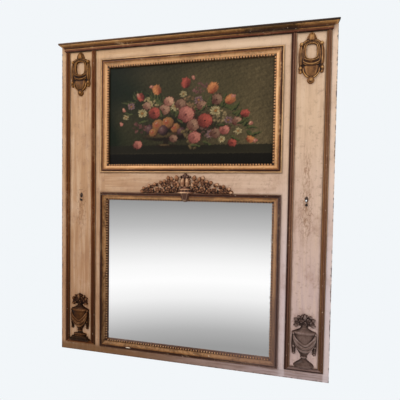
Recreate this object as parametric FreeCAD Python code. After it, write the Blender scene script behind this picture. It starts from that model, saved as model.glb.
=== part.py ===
import FreeCAD, Part
import math
import os

Vector = FreeCAD.Vector

# A trumeau mirror: a painted board with a gilt-framed picture over a gilt-framed looking
# glass, a carved pilaster on each side and a cornice on top. It hangs on a wall.
# X runs to the right, Z up from the bottom edge, Y = 0 is the wall and the front faces -Y.
# All sizes are in millimetres.

# ---- layout of the front, from the outside inwards and from the bottom up
board_width = 1400.0
outer_strip = 26.1
side_moulding_width = 23.4
pilaster_field = 129.5
inner_strip = 31.0
base_margin = 37.9
mirror_frame_height = 832.5
frame_gap = 105.5
painting_frame_height = 592.1
frieze_height = 50.0
pilaster_base = 40.9
base_moulding_width = 18.1

# ---- depth of the build
batten_thickness = 22.0
board_thickness = 30.0
panel_thickness = 18.0

# ---- joinery of the board
tenon_length = 35.0
tenon_thickness = 10.0
tenon_shoulder = 10.0
tongue_length = 7.0
tongue_thickness = 8.0
tongue_setback = 5.0
joint_clearance = 0.2
joint_end_gap = 0.6
batten_width = 56.0
batten_inset = 10.0
batten_screw_inset = 19.0
batten_rail_screw_x = 150.0
stile_screw_inset = 16.0

# ---- screws: countersunk, one size for the battens and one for the small fittings
wood_screw_radius = 2.25
wood_screw_length = 34.0
wood_screw_head_radius = 4.5
small_screw_radius = 1.75
small_screw_length = 16.0
small_screw_head_radius = 3.6
screw_clearance = 0.1
screw_sink = 0.4

# ---- hanging plates, let into the back of the top batten
hanging_inset = 25.75
plate_length = 60.0
plate_width = 36.0
plate_thickness = 3.0
hanging_hole_radius = 4.5
hanging_pocket_depth = 12.0
plate_screw_spacing = 42.0

# ---- mouldings: widths across the face and heights above the board
frame_seat = 24.5
seat_clearance = 0.2
painting_moulding_width = 44.0
mirror_moulding_width = 39.5
painting_sight_drop = 6.0
mirror_sight_drop = 9.0
lip_thickness = 4.0
outer_bead_width = 7.0
outer_bead_height = 8.0
outer_bead_spring = 4.5
quirk_width = 3.4
quirk_height = 2.4
crest_line_height = 9.0
crest_line_width = 9.5
crest_line_swell = 2.2
beading_width = 9.0
beading_swell = 1.8
reed_gap = 1.2
small_reed_width = 6.0
reed_fillet = 2.5
small_reed_height = 5.5
large_reed_height = 8.5

# ---- cornice, from the frieze upwards
bed_height = 11.0
bed_fillet_height = 2.0
bed_fillet_reach = 8.0
bed_bead_reach = 12.5
crown_height = 19.0
crown_fillet_height = 2.5
crown_foot_reach = 11.0
crown_top_reach = 30.0
cove_sink = 4.5
cap_thickness = 9.0
cap_reach = 34.0
cap_nose_radius = 3.5

# ---- painting on its stretcher
painting_clearance = 2.5
rest_gap = 0.3
canvas_thickness = 0.8
canvas_turn = 16.0
stretcher_width = 45.0
crossbar_thickness = 12.0
key_size = 20.0
key_thickness = 3.0
key_bite = 8.0
key_clearance = 0.1
tack_head_radius = 4.0
tack_head_thickness = 0.8
tack_shank_radius = 0.8
tack_shank_length = 9.0
tacks_across = 9
tacks_up = 6
tack_corner_inset = 40.0

# ---- turn buttons that hold the painting in from the back
button_length = 56.0
button_width = 16.0
button_thickness = 6.0
button_offset = 14.0
button_height_inset = 110.0
button_gap = 0.3

# ---- looking glass and its backing
glass_thickness = 4.0
glass_clearance = 2.5
setting_block_length = 40.0
setting_block_thickness = 2.0
setting_block_x = 260.0
backboard_gap = 1.0
cleat_width = 40.0
cleat_thickness = 10.0
cleat_reach = 38.0
cleat_screw_offset = 20.0
cleat_inset = 90.0

# ---- sconce fixings on the pilasters
sconce_height = 847.0
sconce_inset = 4.7
sconce_hole_radius = 4.5
hook_drop = 20.0
hook_radius = 2.0
hook_reach = 12.0
hook_rise = 10.0
hook_rose_radius = 6.0
hook_rose_thickness = 1.5
hook_root = 12.0

# ---- carving: overall sizes; the outlines are in the functions below
cartouche_top_gap = 1.5
cartouche_plate = 5.0
oval_half_width = 24.5
oval_half_height = 33.0
oval_ring_radius = 4.5
oval_centre_drop = 87.0
urn_seat_gap = 0.3
plinth_steps = ((115.0, 8.7, 18.0), (92.0, 12.0, 15.0))
crest_seat_gap = 0.3
crest_drop_lift = 12.0
crest_joint = ((43, -1), (43, 0), (34, 19), (30, 22), (30, 110))
crest_joint_gap = 0.3

# ---- places worked out from the sizes above
front_y = -(batten_thickness + board_thickness)
board_back_y = -batten_thickness
half_width = board_width / 2
mirror_bottom = base_margin
mirror_top = mirror_bottom + mirror_frame_height
painting_bottom = mirror_top + frame_gap
painting_top = painting_bottom + painting_frame_height
cornice_bottom = painting_top + frieze_height
crown_bottom = cornice_bottom + bed_height
board_height = crown_bottom + crown_height
outer_moulding_edge = half_width - outer_strip
pilaster_centre = outer_moulding_edge - side_moulding_width - pilaster_field / 2
inner_moulding_edge = outer_moulding_edge - 2 * side_moulding_width - pilaster_field
frame_half = inner_moulding_edge - inner_strip
opening_half = frame_half - frame_seat
outer_joint = outer_moulding_edge - side_moulding_width / 2
inner_joint = inner_moulding_edge + side_moulding_width / 2
painting_back_depth = painting_sight_drop + lip_thickness
mirror_back_depth = mirror_sight_drop + lip_thickness
rails = {
    "bottom_rail": (0.0, mirror_bottom + frame_seat),
    "middle_rail": (mirror_top - frame_seat, painting_bottom + frame_seat),
    "top_rail": (painting_top - frame_seat, board_height),
}
sides = {"left": -1, "right": 1}
parts = {}


# ---- basic shapes
def box(x0, x1, y0, y1, z0, z1):
    """A box between two corners, given in any order."""
    low = Vector(min(x0, x1), min(y0, y1), min(z0, z1))
    return Part.makeBox(abs(x1 - x0), abs(y1 - y0), abs(z1 - z0), low)


def rod(x, y0, y1, z, radius):
    """A cylinder along Y."""
    return Part.makeCylinder(radius, abs(y1 - y0), Vector(x, min(y0, y1), z), Vector(0, 1, 0))


def prism(outline, y0, y1):
    """A flat outline of (x, z) points, thick from y0 to y1."""
    points = [Vector(x, y0, z) for x, z in outline]
    face = Part.Face(Part.makePolygon(points + points[:1]))
    return face.extrude(Vector(0, y1 - y0, 0))


def profile_face(steps, place):
    """A closed face through steps of (t, d) or (t, d, mid t, mid d) for an arc."""
    edges = []
    last = place(*steps[0])
    for step in steps[1:] + steps[:1]:
        point = place(*step[:2])
        if len(step) == 4:
            edges.append(Part.Arc(last, place(*step[2:]), point).toShape())
        else:
            edges.append(Part.LineSegment(last, point).toShape())
        last = point
    return Part.Face(Part.Wire(edges))


def fuse_all(solids):
    """One clean solid out of several that overlap."""
    return solids[0].multiFuse(solids[1:]).removeSplitter()


# ---- screws
def screw(x, y, z, radius, length, head_radius, grow=0.0):
    """A countersunk screw along -Y with its head's flat at y; grow gives its hole."""
    head_height = head_radius - radius
    point_length = 2 * radius
    away = Vector(0, -1, 0)
    shank_end = y - length + point_length
    head = Part.makeCone(head_radius + grow, radius + grow, head_height, Vector(x, y, z), away)
    shank = rod(x, y - head_height, shank_end, z, radius + grow)
    tip = Part.makeCone(radius + grow, 0.2, point_length + grow, Vector(x, shank_end, z), away)
    return fuse_all([head, shank, tip])


def screw_hole(x, y, z, radius, length, head_radius):
    """The space that a screw takes, open above its head."""
    body = screw(x, y, z, radius, length, head_radius, screw_clearance)
    mouth = rod(x, y, y + 2 * screw_sink, z, head_radius + screw_clearance)
    return fuse_all([body, mouth])


def wood_screw_sets():
    """Places of the long screws: three rows of batten screws and two of cleat screws."""
    batten_x = (half_width - batten_screw_inset, inner_joint - stile_screw_inset,
                batten_rail_screw_x)
    places = []
    for low, high in rails.values():
        for x in batten_x:
            for side in sides.values():
                places.append((side * x, -screw_sink, (low + high) / 2))
    cleat_y = board_back_y + cleat_thickness - screw_sink
    for z in cleat_heights():
        for side in sides.values():
            places.append((side * (opening_half + cleat_screw_offset), cleat_y, z))
    return places


def button_places():
    """Pivot points of the four turn buttons, beside the painting's opening."""
    low = painting_bottom + frame_seat + button_height_inset
    high = painting_top - frame_seat - button_height_inset
    names = {}
    for side_name, side in sides.items():
        for level, z in (("lower", low), ("upper", high)):
            names["turn_button_%s_%s" % (level, side_name)] = (side * (opening_half + button_offset), z)
    return names


def plate_places():
    """Centres of the two hanging plates on the top batten, a little inside the pilasters' middles."""
    z = sum(rails["top_rail"]) / 2
    return [(side * (pilaster_centre - hanging_inset), z) for side in sides.values()]


def small_screw_places():
    """Places of the short screws: two in each hanging plate, one in each button."""
    places = []
    for x, z in plate_places():
        for offset in (-plate_screw_spacing / 2, plate_screw_spacing / 2):
            places.append((x + offset, -screw_sink, z))
    button_back = board_back_y + button_gap + button_thickness
    for x, z in button_places().values():
        places.append((x, button_back - screw_sink, z))
    return places


def cleat_heights():
    """Heights of the two cleats across the looking glass's backing."""
    return (mirror_bottom + frame_seat + cleat_inset, mirror_top - frame_seat - cleat_inset)


def long_holes(near):
    """Holes of the long screws whose x lies inside near = (low, high)."""
    return [screw_hole(x, y, z, wood_screw_radius, wood_screw_length, wood_screw_head_radius)
            for x, y, z in wood_screw_sets() if min(near) < x < max(near)]


def short_holes(near):
    """Holes of the short screws whose x lies inside near = (low, high)."""
    return [screw_hole(x, y, z, small_screw_radius, small_screw_length, small_screw_head_radius)
            for x, y, z in small_screw_places() if min(near) < x < max(near)]


def make_screws():
    """The two groups of screws."""
    parts["wood_screws"] = Part.makeCompound(
        [screw(x, y, z, wood_screw_radius, wood_screw_length, wood_screw_head_radius)
         for x, y, z in wood_screw_sets()])
    parts["small_screws"] = Part.makeCompound(
        [screw(x, y, z, small_screw_radius, small_screw_length, small_screw_head_radius)
         for x, y, z in small_screw_places()])


# ---- the painted board: stiles, rails and pilaster panels
def tenon_y(extra=0.0):
    """Front and back of a tenon, centred in the board."""
    middle = (front_y + board_back_y) / 2
    return middle - tenon_thickness / 2 - extra, middle + tenon_thickness / 2 + extra


def tongue_y(extra=0.0):
    """Front and back of a panel's tongue."""
    front = front_y + tongue_setback
    return front - extra, front + tongue_thickness + extra


def groove(side, edge, inwards):
    """The groove for a panel's tongue in a stile's edge at |x| = edge."""
    depth = inwards * (tongue_length + joint_end_gap)
    return box(side * edge, side * (edge + depth), *tongue_y(joint_clearance), 0, board_height)


def make_stiles():
    """Two outer and two inner stiles, the full height of the board."""
    for name, side in sides.items():
        outer = box(side * outer_joint, side * half_width, front_y, board_back_y, 0, board_height)
        near = (side * outer_joint, side * half_width)
        parts["outer_stile_" + name] = outer.cut([groove(side, outer_joint, 1)] + long_holes(near))
        inner = box(side * opening_half, side * inner_joint, front_y, board_back_y, 0, board_height)
        tools = [groove(side, inner_joint, -1)]
        for low, high in rails.values():
            end = opening_half + tenon_length + joint_end_gap
            tools.append(box(side * opening_half, side * end, *tenon_y(joint_clearance),
                             low + tenon_shoulder - joint_clearance,
                             high - tenon_shoulder + joint_clearance))
        near = (side * opening_half, side * inner_joint)
        parts["inner_stile_" + name] = inner.cut(tools + long_holes(near) + short_holes(near))


def make_rails():
    """Three rails with a tenon at each end."""
    for name, (low, high) in rails.items():
        reach = opening_half + tenon_length
        web = box(-opening_half, opening_half, front_y, board_back_y, low, high)
        tenons = box(-reach, reach, *tenon_y(), low + tenon_shoulder, high - tenon_shoulder)
        rail = fuse_all([web, tenons])
        parts[name] = rail.cut(long_holes((-opening_half, opening_half)))


def make_panels():
    """The pilasters' flat fields, tongued into the stiles, with the sconce holes."""
    back = front_y + panel_thickness
    for name, side in sides.items():
        field = box(side * inner_joint, side * outer_joint, front_y, back, 0, board_height)
        tongues = box(side * (inner_joint - tongue_length), side * (outer_joint + tongue_length),
                      *tongue_y(), 0, board_height)
        x = side * sconce_x()
        hole = rod(x, front_y - 1, back + 1, sconce_height, sconce_hole_radius)
        root = rod(x, front_y - 1, front_y + hook_root + joint_end_gap, sconce_height - hook_drop,
                   hook_radius + screw_clearance)
        parts["pilaster_panel_" + name] = fuse_all([field, tongues]).cut([hole, root])


def make_battens():
    """Three battens across the back; the top one carries the hanging plates."""
    reach = half_width - batten_inset
    for name, (low, high) in rails.items():
        z = (low + high) / 2
        batten = box(-reach, reach, -batten_thickness, 0, z - batten_width / 2, z + batten_width / 2)
        tools = long_holes((-reach, reach))
        if name == "top_rail":
            tools += short_holes((-reach, reach))
            for x, plate_z in plate_places():
                tools.append(plate_blank(x, plate_z, joint_clearance))
                tools.append(rod(x, 0, -plate_thickness - hanging_pocket_depth, plate_z,
                                 2 * hanging_hole_radius))
        parts["back_batten_" + name.split("_")[0]] = batten.cut(tools)


def plate_blank(x, z, grow=0.0):
    """A hanging plate's outline; grow gives the recess that it lies in."""
    return box(x - plate_length / 2 - grow, x + plate_length / 2 + grow, -plate_thickness, 0,
               z - plate_width / 2 - grow, z + plate_width / 2 + grow)


def make_hanging_plates():
    """Two iron plates, each with a hole for a wall screw and two fixing screws."""
    plates = []
    for x, z in plate_places():
        hole = rod(x, 1, -plate_thickness - 1, z, hanging_hole_radius)
        near = (x - plate_length / 2, x + plate_length / 2)
        plates.append(plate_blank(x, z).cut([hole] + short_holes(near)))
    parts["hanging_plates"] = Part.makeCompound(plates)


# ---- gilt mouldings
def frame_steps(width, sight_drop):
    """Section of a picture moulding: t runs inwards from the outer edge, d off the board."""
    quirk = outer_bead_width + quirk_width
    ogee = quirk + crest_line_width
    beading = width - beading_width
    back = -(sight_drop + lip_thickness)
    slope_end = beading_swell / 2 - sight_drop * 0.1
    seat = frame_seat + seat_clearance
    top = crest_line_height
    return [
        (0, 0),
        (0, outer_bead_spring),
        (outer_bead_width, outer_bead_spring, outer_bead_width / 2, outer_bead_height),
        (outer_bead_width, quirk_height),
        (quirk, quirk_height),
        (quirk, top),
        (ogee, top, (quirk + ogee) / 2, top + crest_line_swell),
        (beading, slope_end, (ogee + beading) / 2, (top + slope_end) / 2 - crest_line_swell),
        (width, -sight_drop, width - beading_width / 3, beading_swell - sight_drop * 0.3),
        (width, back),
        (seat, back),
        (seat, 0),
    ]


def reed_steps(width):
    """Section of a pilaster moulding: a large reed between two small ones."""
    first = small_reed_width * width / side_moulding_width
    gap = reed_gap * width / side_moulding_width
    return [
        (0, 0),
        (0, reed_fillet),
        (first, reed_fillet, first / 2, small_reed_height),
        (first + gap, reed_fillet),
        (width - first - gap, reed_fillet, width / 2, large_reed_height),
        (width - first, reed_fillet),
        (width, reed_fillet, width - first / 2, small_reed_height),
        (width, 0),
    ]


def upright(steps, outer_x, inwards, outline):
    """A vertical moulding from its section, trimmed to an outline of (x, z) points."""
    heights = [z for x, z in outline]
    face = profile_face(steps, lambda t, d: Vector(outer_x + inwards * t, front_y - d, min(heights)))
    bar = face.extrude(Vector(0, 0, max(heights) - min(heights)))
    return bar.common(prism(outline, front_y - board_thickness, front_y + board_thickness))


def level(steps, outer_z, upwards, outline):
    """A horizontal moulding from its section, trimmed to an outline of (x, z) points."""
    reaches = [x for x, z in outline]
    face = profile_face(steps, lambda t, d: Vector(min(reaches), front_y - d, outer_z + upwards * t))
    bar = face.extrude(Vector(max(reaches) - min(reaches), 0, 0))
    return bar.common(prism(outline, front_y - board_thickness, front_y + board_thickness))


def make_frame(name, low, high, width, sight_drop):
    """Four mitred mouldings round one opening."""
    steps = frame_steps(width, sight_drop)
    out, inn = frame_half, frame_half - width
    bottom, top = low + width, high - width
    parts[name + "_frame_top"] = level(
        steps, high, -1, [(-out, high), (out, high), (inn, top), (-inn, top)])
    parts[name + "_frame_bottom"] = level(
        steps, low, 1, [(-out, low), (out, low), (inn, bottom), (-inn, bottom)])
    for side_name, side in sides.items():
        outline = [(side * out, low), (side * out, high), (side * inn, top), (side * inn, bottom)]
        parts["%s_frame_%s" % (name, side_name)] = upright(steps, side * out, -side, outline)


def make_pilaster_mouldings():
    """An outer, an inner and a base moulding round each pilaster's field."""
    steps = reed_steps(side_moulding_width)
    base_steps = reed_steps(base_moulding_width)
    low = pilaster_base
    mitre = low + base_moulding_width
    top = cornice_bottom
    for name, side in sides.items():
        for place, edge, turn in (("outer", outer_moulding_edge, -1), ("inner", inner_moulding_edge, 1)):
            outer_x = side * edge
            inner_x = side * (edge + turn * side_moulding_width)
            outline = [(outer_x, low), (outer_x, top), (inner_x, top), (inner_x, mitre)]
            parts["pilaster_moulding_%s_%s" % (name, place)] = upright(
                steps, outer_x, side * turn, outline)
        a, b = side * outer_moulding_edge, side * inner_moulding_edge
        a_in = a - side * side_moulding_width
        b_in = b + side * side_moulding_width
        parts["pilaster_moulding_%s_base" % name] = level(
            base_steps, low, 1, [(a, low), (b, low), (b_in, mitre), (a_in, mitre)])


# ---- cornice
def returned(steps, bottom):
    """A cornice member whose ends return to the board at 45 degrees.

    steps hold (height, reach) or (height, reach, mid height, mid reach) for an arc."""
    inset = half_width - cap_reach
    front = profile_face(
        [(0, 0)] + steps + [(steps[-1][0], 0)],
        lambda z, reach: Vector(-half_width, front_y - reach, bottom + z))
    across = front.extrude(Vector(board_width, 0, 0))
    right = profile_face(
        [(0, 0)] + [shift_reach(step, inset) for step in steps] + [(steps[-1][0], 0)],
        lambda z, x: Vector(x, front_y - cap_reach, bottom + z)).extrude(Vector(0, cap_reach, 0))
    left = right.mirror(Vector(0, 0, 0), Vector(1, 0, 0))
    return across.common(fuse_all([right, left]))


def shift_reach(step, inset):
    """The same step of a section, moved outwards by inset."""
    if len(step) == 4:
        return (step[0], step[1] + inset, step[2], step[3] + inset)
    return (step[0], step[1] + inset)


def make_cornice():
    """A bed bead, a hollow crown and a cap that also covers the top of the board."""
    bead = (bed_height + bed_fillet_height) / 2
    parts["cornice_bed_bead"] = returned([
        (0, bed_fillet_reach),
        (bed_fillet_height, bed_fillet_reach),
        (bed_height, bed_fillet_reach, bead, bed_bead_reach),
    ], cornice_bottom)
    hollow = crown_height - crown_fillet_height
    parts["cornice_crown"] = returned([
        (0, crown_foot_reach),
        (crown_fillet_height, crown_foot_reach),
        (hollow, crown_top_reach - crown_fillet_height,
         (crown_fillet_height + hollow) / 2 + cove_sink / 2,
         (crown_foot_reach + crown_top_reach) / 2 - cove_sink),
        (hollow, crown_top_reach),
        (crown_height, crown_top_reach),
    ], crown_bottom)
    cap = box(-half_width, half_width, front_y - cap_reach, board_back_y,
              board_height, board_height + cap_thickness)
    nose = [edge for edge in cap.Edges if is_nose_edge(edge)]
    parts["cornice_cap"] = cap.makeFillet(cap_nose_radius, nose)


def is_nose_edge(edge):
    """True for the two long front edges of the cap."""
    size = edge.BoundBox
    return size.XLength > half_width and size.YMax < front_y


# ---- painting, stretcher and turn buttons
def painting_box():
    """Half width, bottom and top of the canvas round its stretcher."""
    low = painting_bottom + frame_seat + tack_head_thickness + rest_gap
    high = painting_top - frame_seat - painting_clearance
    return opening_half - painting_clearance, low, high


def tack_set():
    """Tacks round the edge of the canvas: (point on the canvas edge, outward direction)."""
    half, low, high = painting_box()
    run = half - tack_corner_inset
    places = []
    for number in range(tacks_across):
        x = -run + 2 * run * number / (tacks_across - 1)
        places.append((x, low, 0, -1))
        places.append((x, high, 0, 1))
    start, end = low + tack_corner_inset, high - tack_corner_inset
    for number in range(tacks_up):
        z = start + (end - start) * number / (tacks_up - 1)
        places.append((-half, z, -1, 0))
        places.append((half, z, 1, 0))
    return places


def make_canvas():
    """The canvas: its painted front and the edges turned over the stretcher, with tacks."""
    half, low, high = painting_box()
    front = front_y + painting_back_depth
    tack_y = front + canvas_turn / 2
    heads, shanks, holes = [], [], []
    for x, z, out_x, out_z in tack_set():
        out = Vector(out_x, 0, out_z)
        foot = Vector(x, tack_y, z)
        heads.append(Part.makeCylinder(tack_head_radius, tack_head_thickness, foot, out))
        shanks.append(Part.makeCylinder(tack_shank_radius, tack_shank_length, foot, -out))
        holes.append(Part.makeCylinder(tack_shank_radius + screw_clearance,
                                       tack_shank_length + joint_end_gap, foot, -out))
    parts["canvas_tacks"] = Part.makeCompound(
        [fuse_all([head, shank]) for head, shank in zip(heads, shanks)])
    cloth = box(-half, half, front, front + canvas_turn, low, high)
    inside = box(-half + canvas_thickness, half - canvas_thickness, front + canvas_thickness,
                 front + canvas_turn + 1, low + canvas_thickness, high - canvas_thickness)
    parts["painting_canvas"] = cloth.cut([inside] + holes)
    make_stretcher(half - canvas_thickness, low + canvas_thickness, high - canvas_thickness,
                   front + canvas_thickness, holes)


def make_stretcher(half, low, high, front, tack_holes):
    """Four mitred bars, a middle bar and the wedge keys in the corners."""
    inn, bottom, top = half - stretcher_width, low + stretcher_width, high - stretcher_width
    middle = (front + board_back_y) / 2
    slots, keys = [], []
    for side in sides.values():
        for corner_z, up in ((bottom, -1), (top, 1)):
            out_x, out_z = side * (inn + key_bite), corner_z + up * key_bite
            slot_x = out_x - side * (key_size + 2 * key_clearance)
            slot_z = out_z - up * (key_size + 2 * key_clearance)
            slots.append(box(out_x, slot_x, middle - key_thickness / 2 - key_clearance,
                             middle + key_thickness / 2 + key_clearance, out_z, slot_z))
            foot_x, foot_z = out_x - side * key_clearance, out_z - up * key_clearance
            keys.append(prism([(foot_x, foot_z), (foot_x - side * key_size, foot_z),
                               (foot_x, foot_z - up * key_size)],
                              middle - key_thickness / 2, middle + key_thickness / 2))
    outlines = {
        "top": [(-half, high), (half, high), (inn, top), (-inn, top)],
        "bottom": [(-half, low), (half, low), (inn, bottom), (-inn, bottom)],
        "left": [(-half, low), (-half, high), (-inn, top), (-inn, bottom)],
        "right": [(half, low), (half, high), (inn, top), (inn, bottom)],
    }
    for name, outline in outlines.items():
        parts["stretcher_" + name] = prism(outline, front, board_back_y).cut(slots + tack_holes)
    parts["stretcher_crossbar"] = box(-stretcher_width / 2, stretcher_width / 2,
                                      board_back_y - crossbar_thickness, board_back_y, bottom, top)
    parts["stretcher_keys"] = Part.makeCompound(keys)


def make_buttons():
    """Wooden turn buttons: each turns on its screw and laps over the stretcher's edge."""
    front = board_back_y + button_gap
    back = front + button_thickness
    end_radius = button_width / 2
    run = button_length / 2 - end_radius
    for name, (x, z) in button_places().items():
        bar = box(x - run, x + run, front, back, z - end_radius, z + end_radius)
        ends = [rod(x + offset, front, back, z, end_radius) for offset in (-run, run)]
        body = fuse_all([bar] + ends)
        head = screw(x, back - screw_sink, z, small_screw_radius, small_screw_length,
                     small_screw_head_radius, button_gap)
        mouth = rod(x, back - screw_sink, back + 1, z, small_screw_head_radius + button_gap)
        parts[name] = body.cut([head, mouth])


# ---- looking glass and its backing
def make_glass():
    """The silvered plate on two setting blocks, two backboards and two cleats."""
    half = opening_half - glass_clearance
    floor = mirror_bottom + frame_seat
    low = floor + setting_block_thickness
    high = mirror_top - frame_seat - glass_clearance
    front = front_y + mirror_back_depth
    glass_back = front + glass_thickness
    parts["mirror_glass"] = box(-half, half, front, glass_back, low, high)
    parts["glass_setting_blocks"] = Part.makeCompound(
        [box(x - setting_block_length / 2, x + setting_block_length / 2, front, board_back_y, floor, low)
         for x in (-setting_block_x, setting_block_x)])
    for name, side in sides.items():
        parts["mirror_backboard_" + name] = box(
            side * backboard_gap / 2, side * half, glass_back, board_back_y, low, high)
    reach = opening_half + cleat_reach
    for name, z in zip(("lower", "upper"), cleat_heights()):
        cleat = box(-reach, reach, board_back_y, board_back_y + cleat_thickness,
                    z - cleat_width / 2, z + cleat_width / 2)
        parts["backboard_cleat_" + name] = cleat.cut(long_holes((-reach, reach)))


# ---- sconce hooks
def sconce_x():
    """Distance of the sconce fixings from the middle of the board."""
    return pilaster_centre - sconce_inset


def make_hooks():
    """Two small iron hooks under the sconce holes, each driven into its pilaster."""
    hooks = []
    for side in sides.values():
        x = side * sconce_x()
        z = sconce_height - hook_drop
        tip_y = front_y - hook_reach
        pin = rod(x, front_y + hook_root, tip_y, z, hook_radius)
        rose = rod(x, front_y, front_y - hook_rose_thickness, z, hook_rose_radius)
        knee = Part.makeSphere(hook_radius, Vector(x, tip_y, z))
        riser = Part.makeCylinder(hook_radius, hook_rise, Vector(x, tip_y, z))
        hooks.append(fuse_all([pin, rose, knee, riser]))
    parts["sconce_hooks"] = Part.makeCompound(hooks)


# ---- carving: each piece is modelled about x = 0 with its flat back on y = 0
def dome(x, z, radius, relief, lift=0.0):
    """A ball cap of the given radius where it leaves its ground."""
    ball = (radius * radius + relief * relief) / (2 * relief)
    cap = Part.makeSphere(ball, Vector(x, ball - relief - lift, z))
    ground = box(x - 2 * ball, x + 2 * ball, 0, -2 * ball - lift, z - 2 * ball, z + 2 * ball)
    return cap.common(ground)


def strap(stations, ground=0.0, lift=0.0):
    """A rounded strap through stations of (x, z, half width, relief).

    ground is the height of its upright sides and lift is how far its back is off the board."""
    sections = []
    count = len(stations)
    for index, (x, z, half, relief) in enumerate(stations):
        before = stations[max(index - 1, 0)]
        after = stations[min(index + 1, count - 1)]
        run_x, run_z = after[0] - before[0], after[1] - before[1]
        length = math.hypot(run_x, run_z)
        side_x, side_z = -run_z / length * half, run_x / length * half
        low, high = -lift, -lift - ground
        crest = Vector(x, -lift - max(relief, ground + 0.5), z)
        corners = [Vector(x + side_x, low, z + side_z), Vector(x + side_x, high, z + side_z),
                   Vector(x - side_x, high, z - side_z), Vector(x - side_x, low, z - side_z)]
        edges = [Part.Arc(corners[1], crest, corners[2]).toShape()]
        if ground:
            edges = [Part.LineSegment(corners[0], corners[1]).toShape()] + edges
            edges.append(Part.LineSegment(corners[2], corners[3]).toShape())
        edges.append(Part.LineSegment(corners[3], corners[0]).toShape())
        sections.append(Part.Wire(edges))
    return Part.makeLoft(sections, True, True)


def pair(maker, stations, **sizes):
    """The same strap on the right and, mirrored, on the left."""
    flipped = [(-x, z, half, relief) for x, z, half, relief in stations]
    return [maker(stations, **sizes), maker(flipped, **sizes)]


def stadium(half, tall, y0, y1):
    """An upright opening with round ends."""
    run = tall - half
    middle = box(-half, half, y0, y1, -run, run)
    return fuse_all([middle, rod(0, y0, y1, run, half), rod(0, y0, y1, -run, half)])


def oval_ring(z):
    """The moulded ring round a cartouche's opening, centred at height z."""
    outer = stadium(oval_half_width + 2 * oval_ring_radius, oval_half_height + 2 * oval_ring_radius,
                    0, -cartouche_plate - oval_ring_radius)
    ring = outer.cut(stadium(oval_half_width, oval_half_height, 1, -cartouche_plate - 2 * oval_ring_radius))
    rims = [edge for edge in ring.Edges if edge.BoundBox.YMax < -cartouche_plate - oval_ring_radius * 0.9]
    ring = ring.makeFillet(oval_ring_radius * 0.8, rims)
    ring.translate(Vector(0, 0, z))
    return ring


def cartouche():
    """A carved cartouche: palmette, oval ring, scrolls, swags, shield and boss.

    Heights are measured down from its top."""
    half_outline = [(0, -2), (9, -8), (18, -22), (20, -36), (34, -47), (50, -50), (54, -64),
                    (52, -100), (53, -140), (50, -176), (44, -178), (38, -158), (30, -178), (12, -202)]
    outline = half_outline + [(-x, z) for x, z in reversed(half_outline[1:])]
    opening = stadium(oval_half_width, oval_half_height, 1, -cartouche_plate - 1)
    opening.translate(Vector(0, 0, -oval_centre_drop))
    pieces = [prism(outline, 0, -cartouche_plate).cut(opening)]
    pieces.append(strap([(0, -0.5, 2, 3), (0, -10, 10, 9), (0, -22, 18, 13), (0, -34, 20, 14),
                         (0, -44, 16, 11)]))
    pieces += pair(strap, [(12, -36, 5, 9), (26, -44, 5.5, 10), (42, -56, 5, 9)])
    pieces += [dome(43, -54, 10.5, 11), dome(-43, -54, 10.5, 11)]
    pieces += pair(strap, [(46, -60, 6, 9), (47, -95, 7, 10), (47, -130, 7.5, 10), (48, -160, 6.5, 9),
                           (46, -178, 4.5, 7), (45, -186, 1.5, 3)])
    for drop, half in ((130, 8.5), (148, 9.5)):
        pieces.append(strap([(-42, 24 - drop, 4, 8), (-26, 8 - drop, half, 12), (0, -drop, half, 14),
                             (26, 8 - drop, half, 12), (42, 24 - drop, 4, 8)]))
    pieces.append(strap([(0, -150, 36, 12), (0, -168, 33, 16), (0, -186, 24, 14), (0, -206, 11, 9)]))
    pieces.append(dome(0, -217, 17, 13))
    carved = fuse_all(pieces)
    return carved.fuse(oval_ring(-oval_centre_drop)).removeSplitter()


def urn(foot_stations):
    """A draped urn with a bunch of flowers; heights are measured up from the field's base."""
    body = foot_stations + [
        (0, 25, 33, 14), (0, 33, 20, 12), (0, 41, 13, 11), (0, 55, 13.5, 11), (0, 59, 15, 12),
        (0, 82, 26, 17), (0, 112, 39, 21), (0, 142, 46, 24), (0, 170, 50, 25), (0, 172, 55, 27),
        (0, 178, 55, 27), (0, 180, 47, 21), (0, 186, 33, 16), (0, 195, 15, 12), (0, 204, 12, 11)]
    pieces = [strap(body)]
    pieces.append(strap([(-50, 166, 4, 24), (-30, 130, 8, 28), (0, 102, 9, 29), (30, 130, 8, 28),
                         (50, 166, 4, 24)], ground=14))
    pieces += pair(strap, [(49, 172, 6, 16), (51, 140, 7, 15), (49, 104, 9, 13), (46, 74, 8, 10),
                           (44, 58, 2.5, 5)])
    for x, z, radius, relief in ((0, 208, 15, 18), (20, 206, 13, 15), (36, 203, 11, 12), (28, 222, 13, 14),
                                 (11, 228, 13, 16), (16, 244, 9, 11)):
        pieces.append(dome(x, z, radius, relief))
        if x:
            pieces.append(dome(-x, z, radius, relief))
    pieces.append(strap([(0, 232, 10, 14), (0, 246, 9, 12), (0, 259.5, 1.5, 4)]))
    return fuse_all(pieces)


def crest_centre():
    """The shell, rose and bracket in the middle, with a drop over the mirror's moulding.

    Heights are measured up from the moulding's top edge."""
    pieces = [strap([(0, 52, 22, 17), (0, 70, 25, 18), (0, 86, 28, 15), (0, 96, 25, 10),
                     (0, 104, 16, 5)])]
    for x, z in ((0, 96.5), (17, 93), (-17, 93)):
        pieces.append(dome(x, z, 8, 10))
    pieces.append(dome(0, 56, 26, 25))
    pieces.append(strap([(0, 36, 24, 20), (0, 22, 30, 19), (0, 19, 34, 20), (0, 0, 43, 22)], ground=14))
    pieces.append(strap([(0, 10, 32, 11), (0, -8, 25, 11), (0, -20, 18, 10), (0, -32, 11, 8),
                         (0, -43, 4, 4)], ground=2, lift=crest_drop_lift))
    return fuse_all(pieces)


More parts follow.
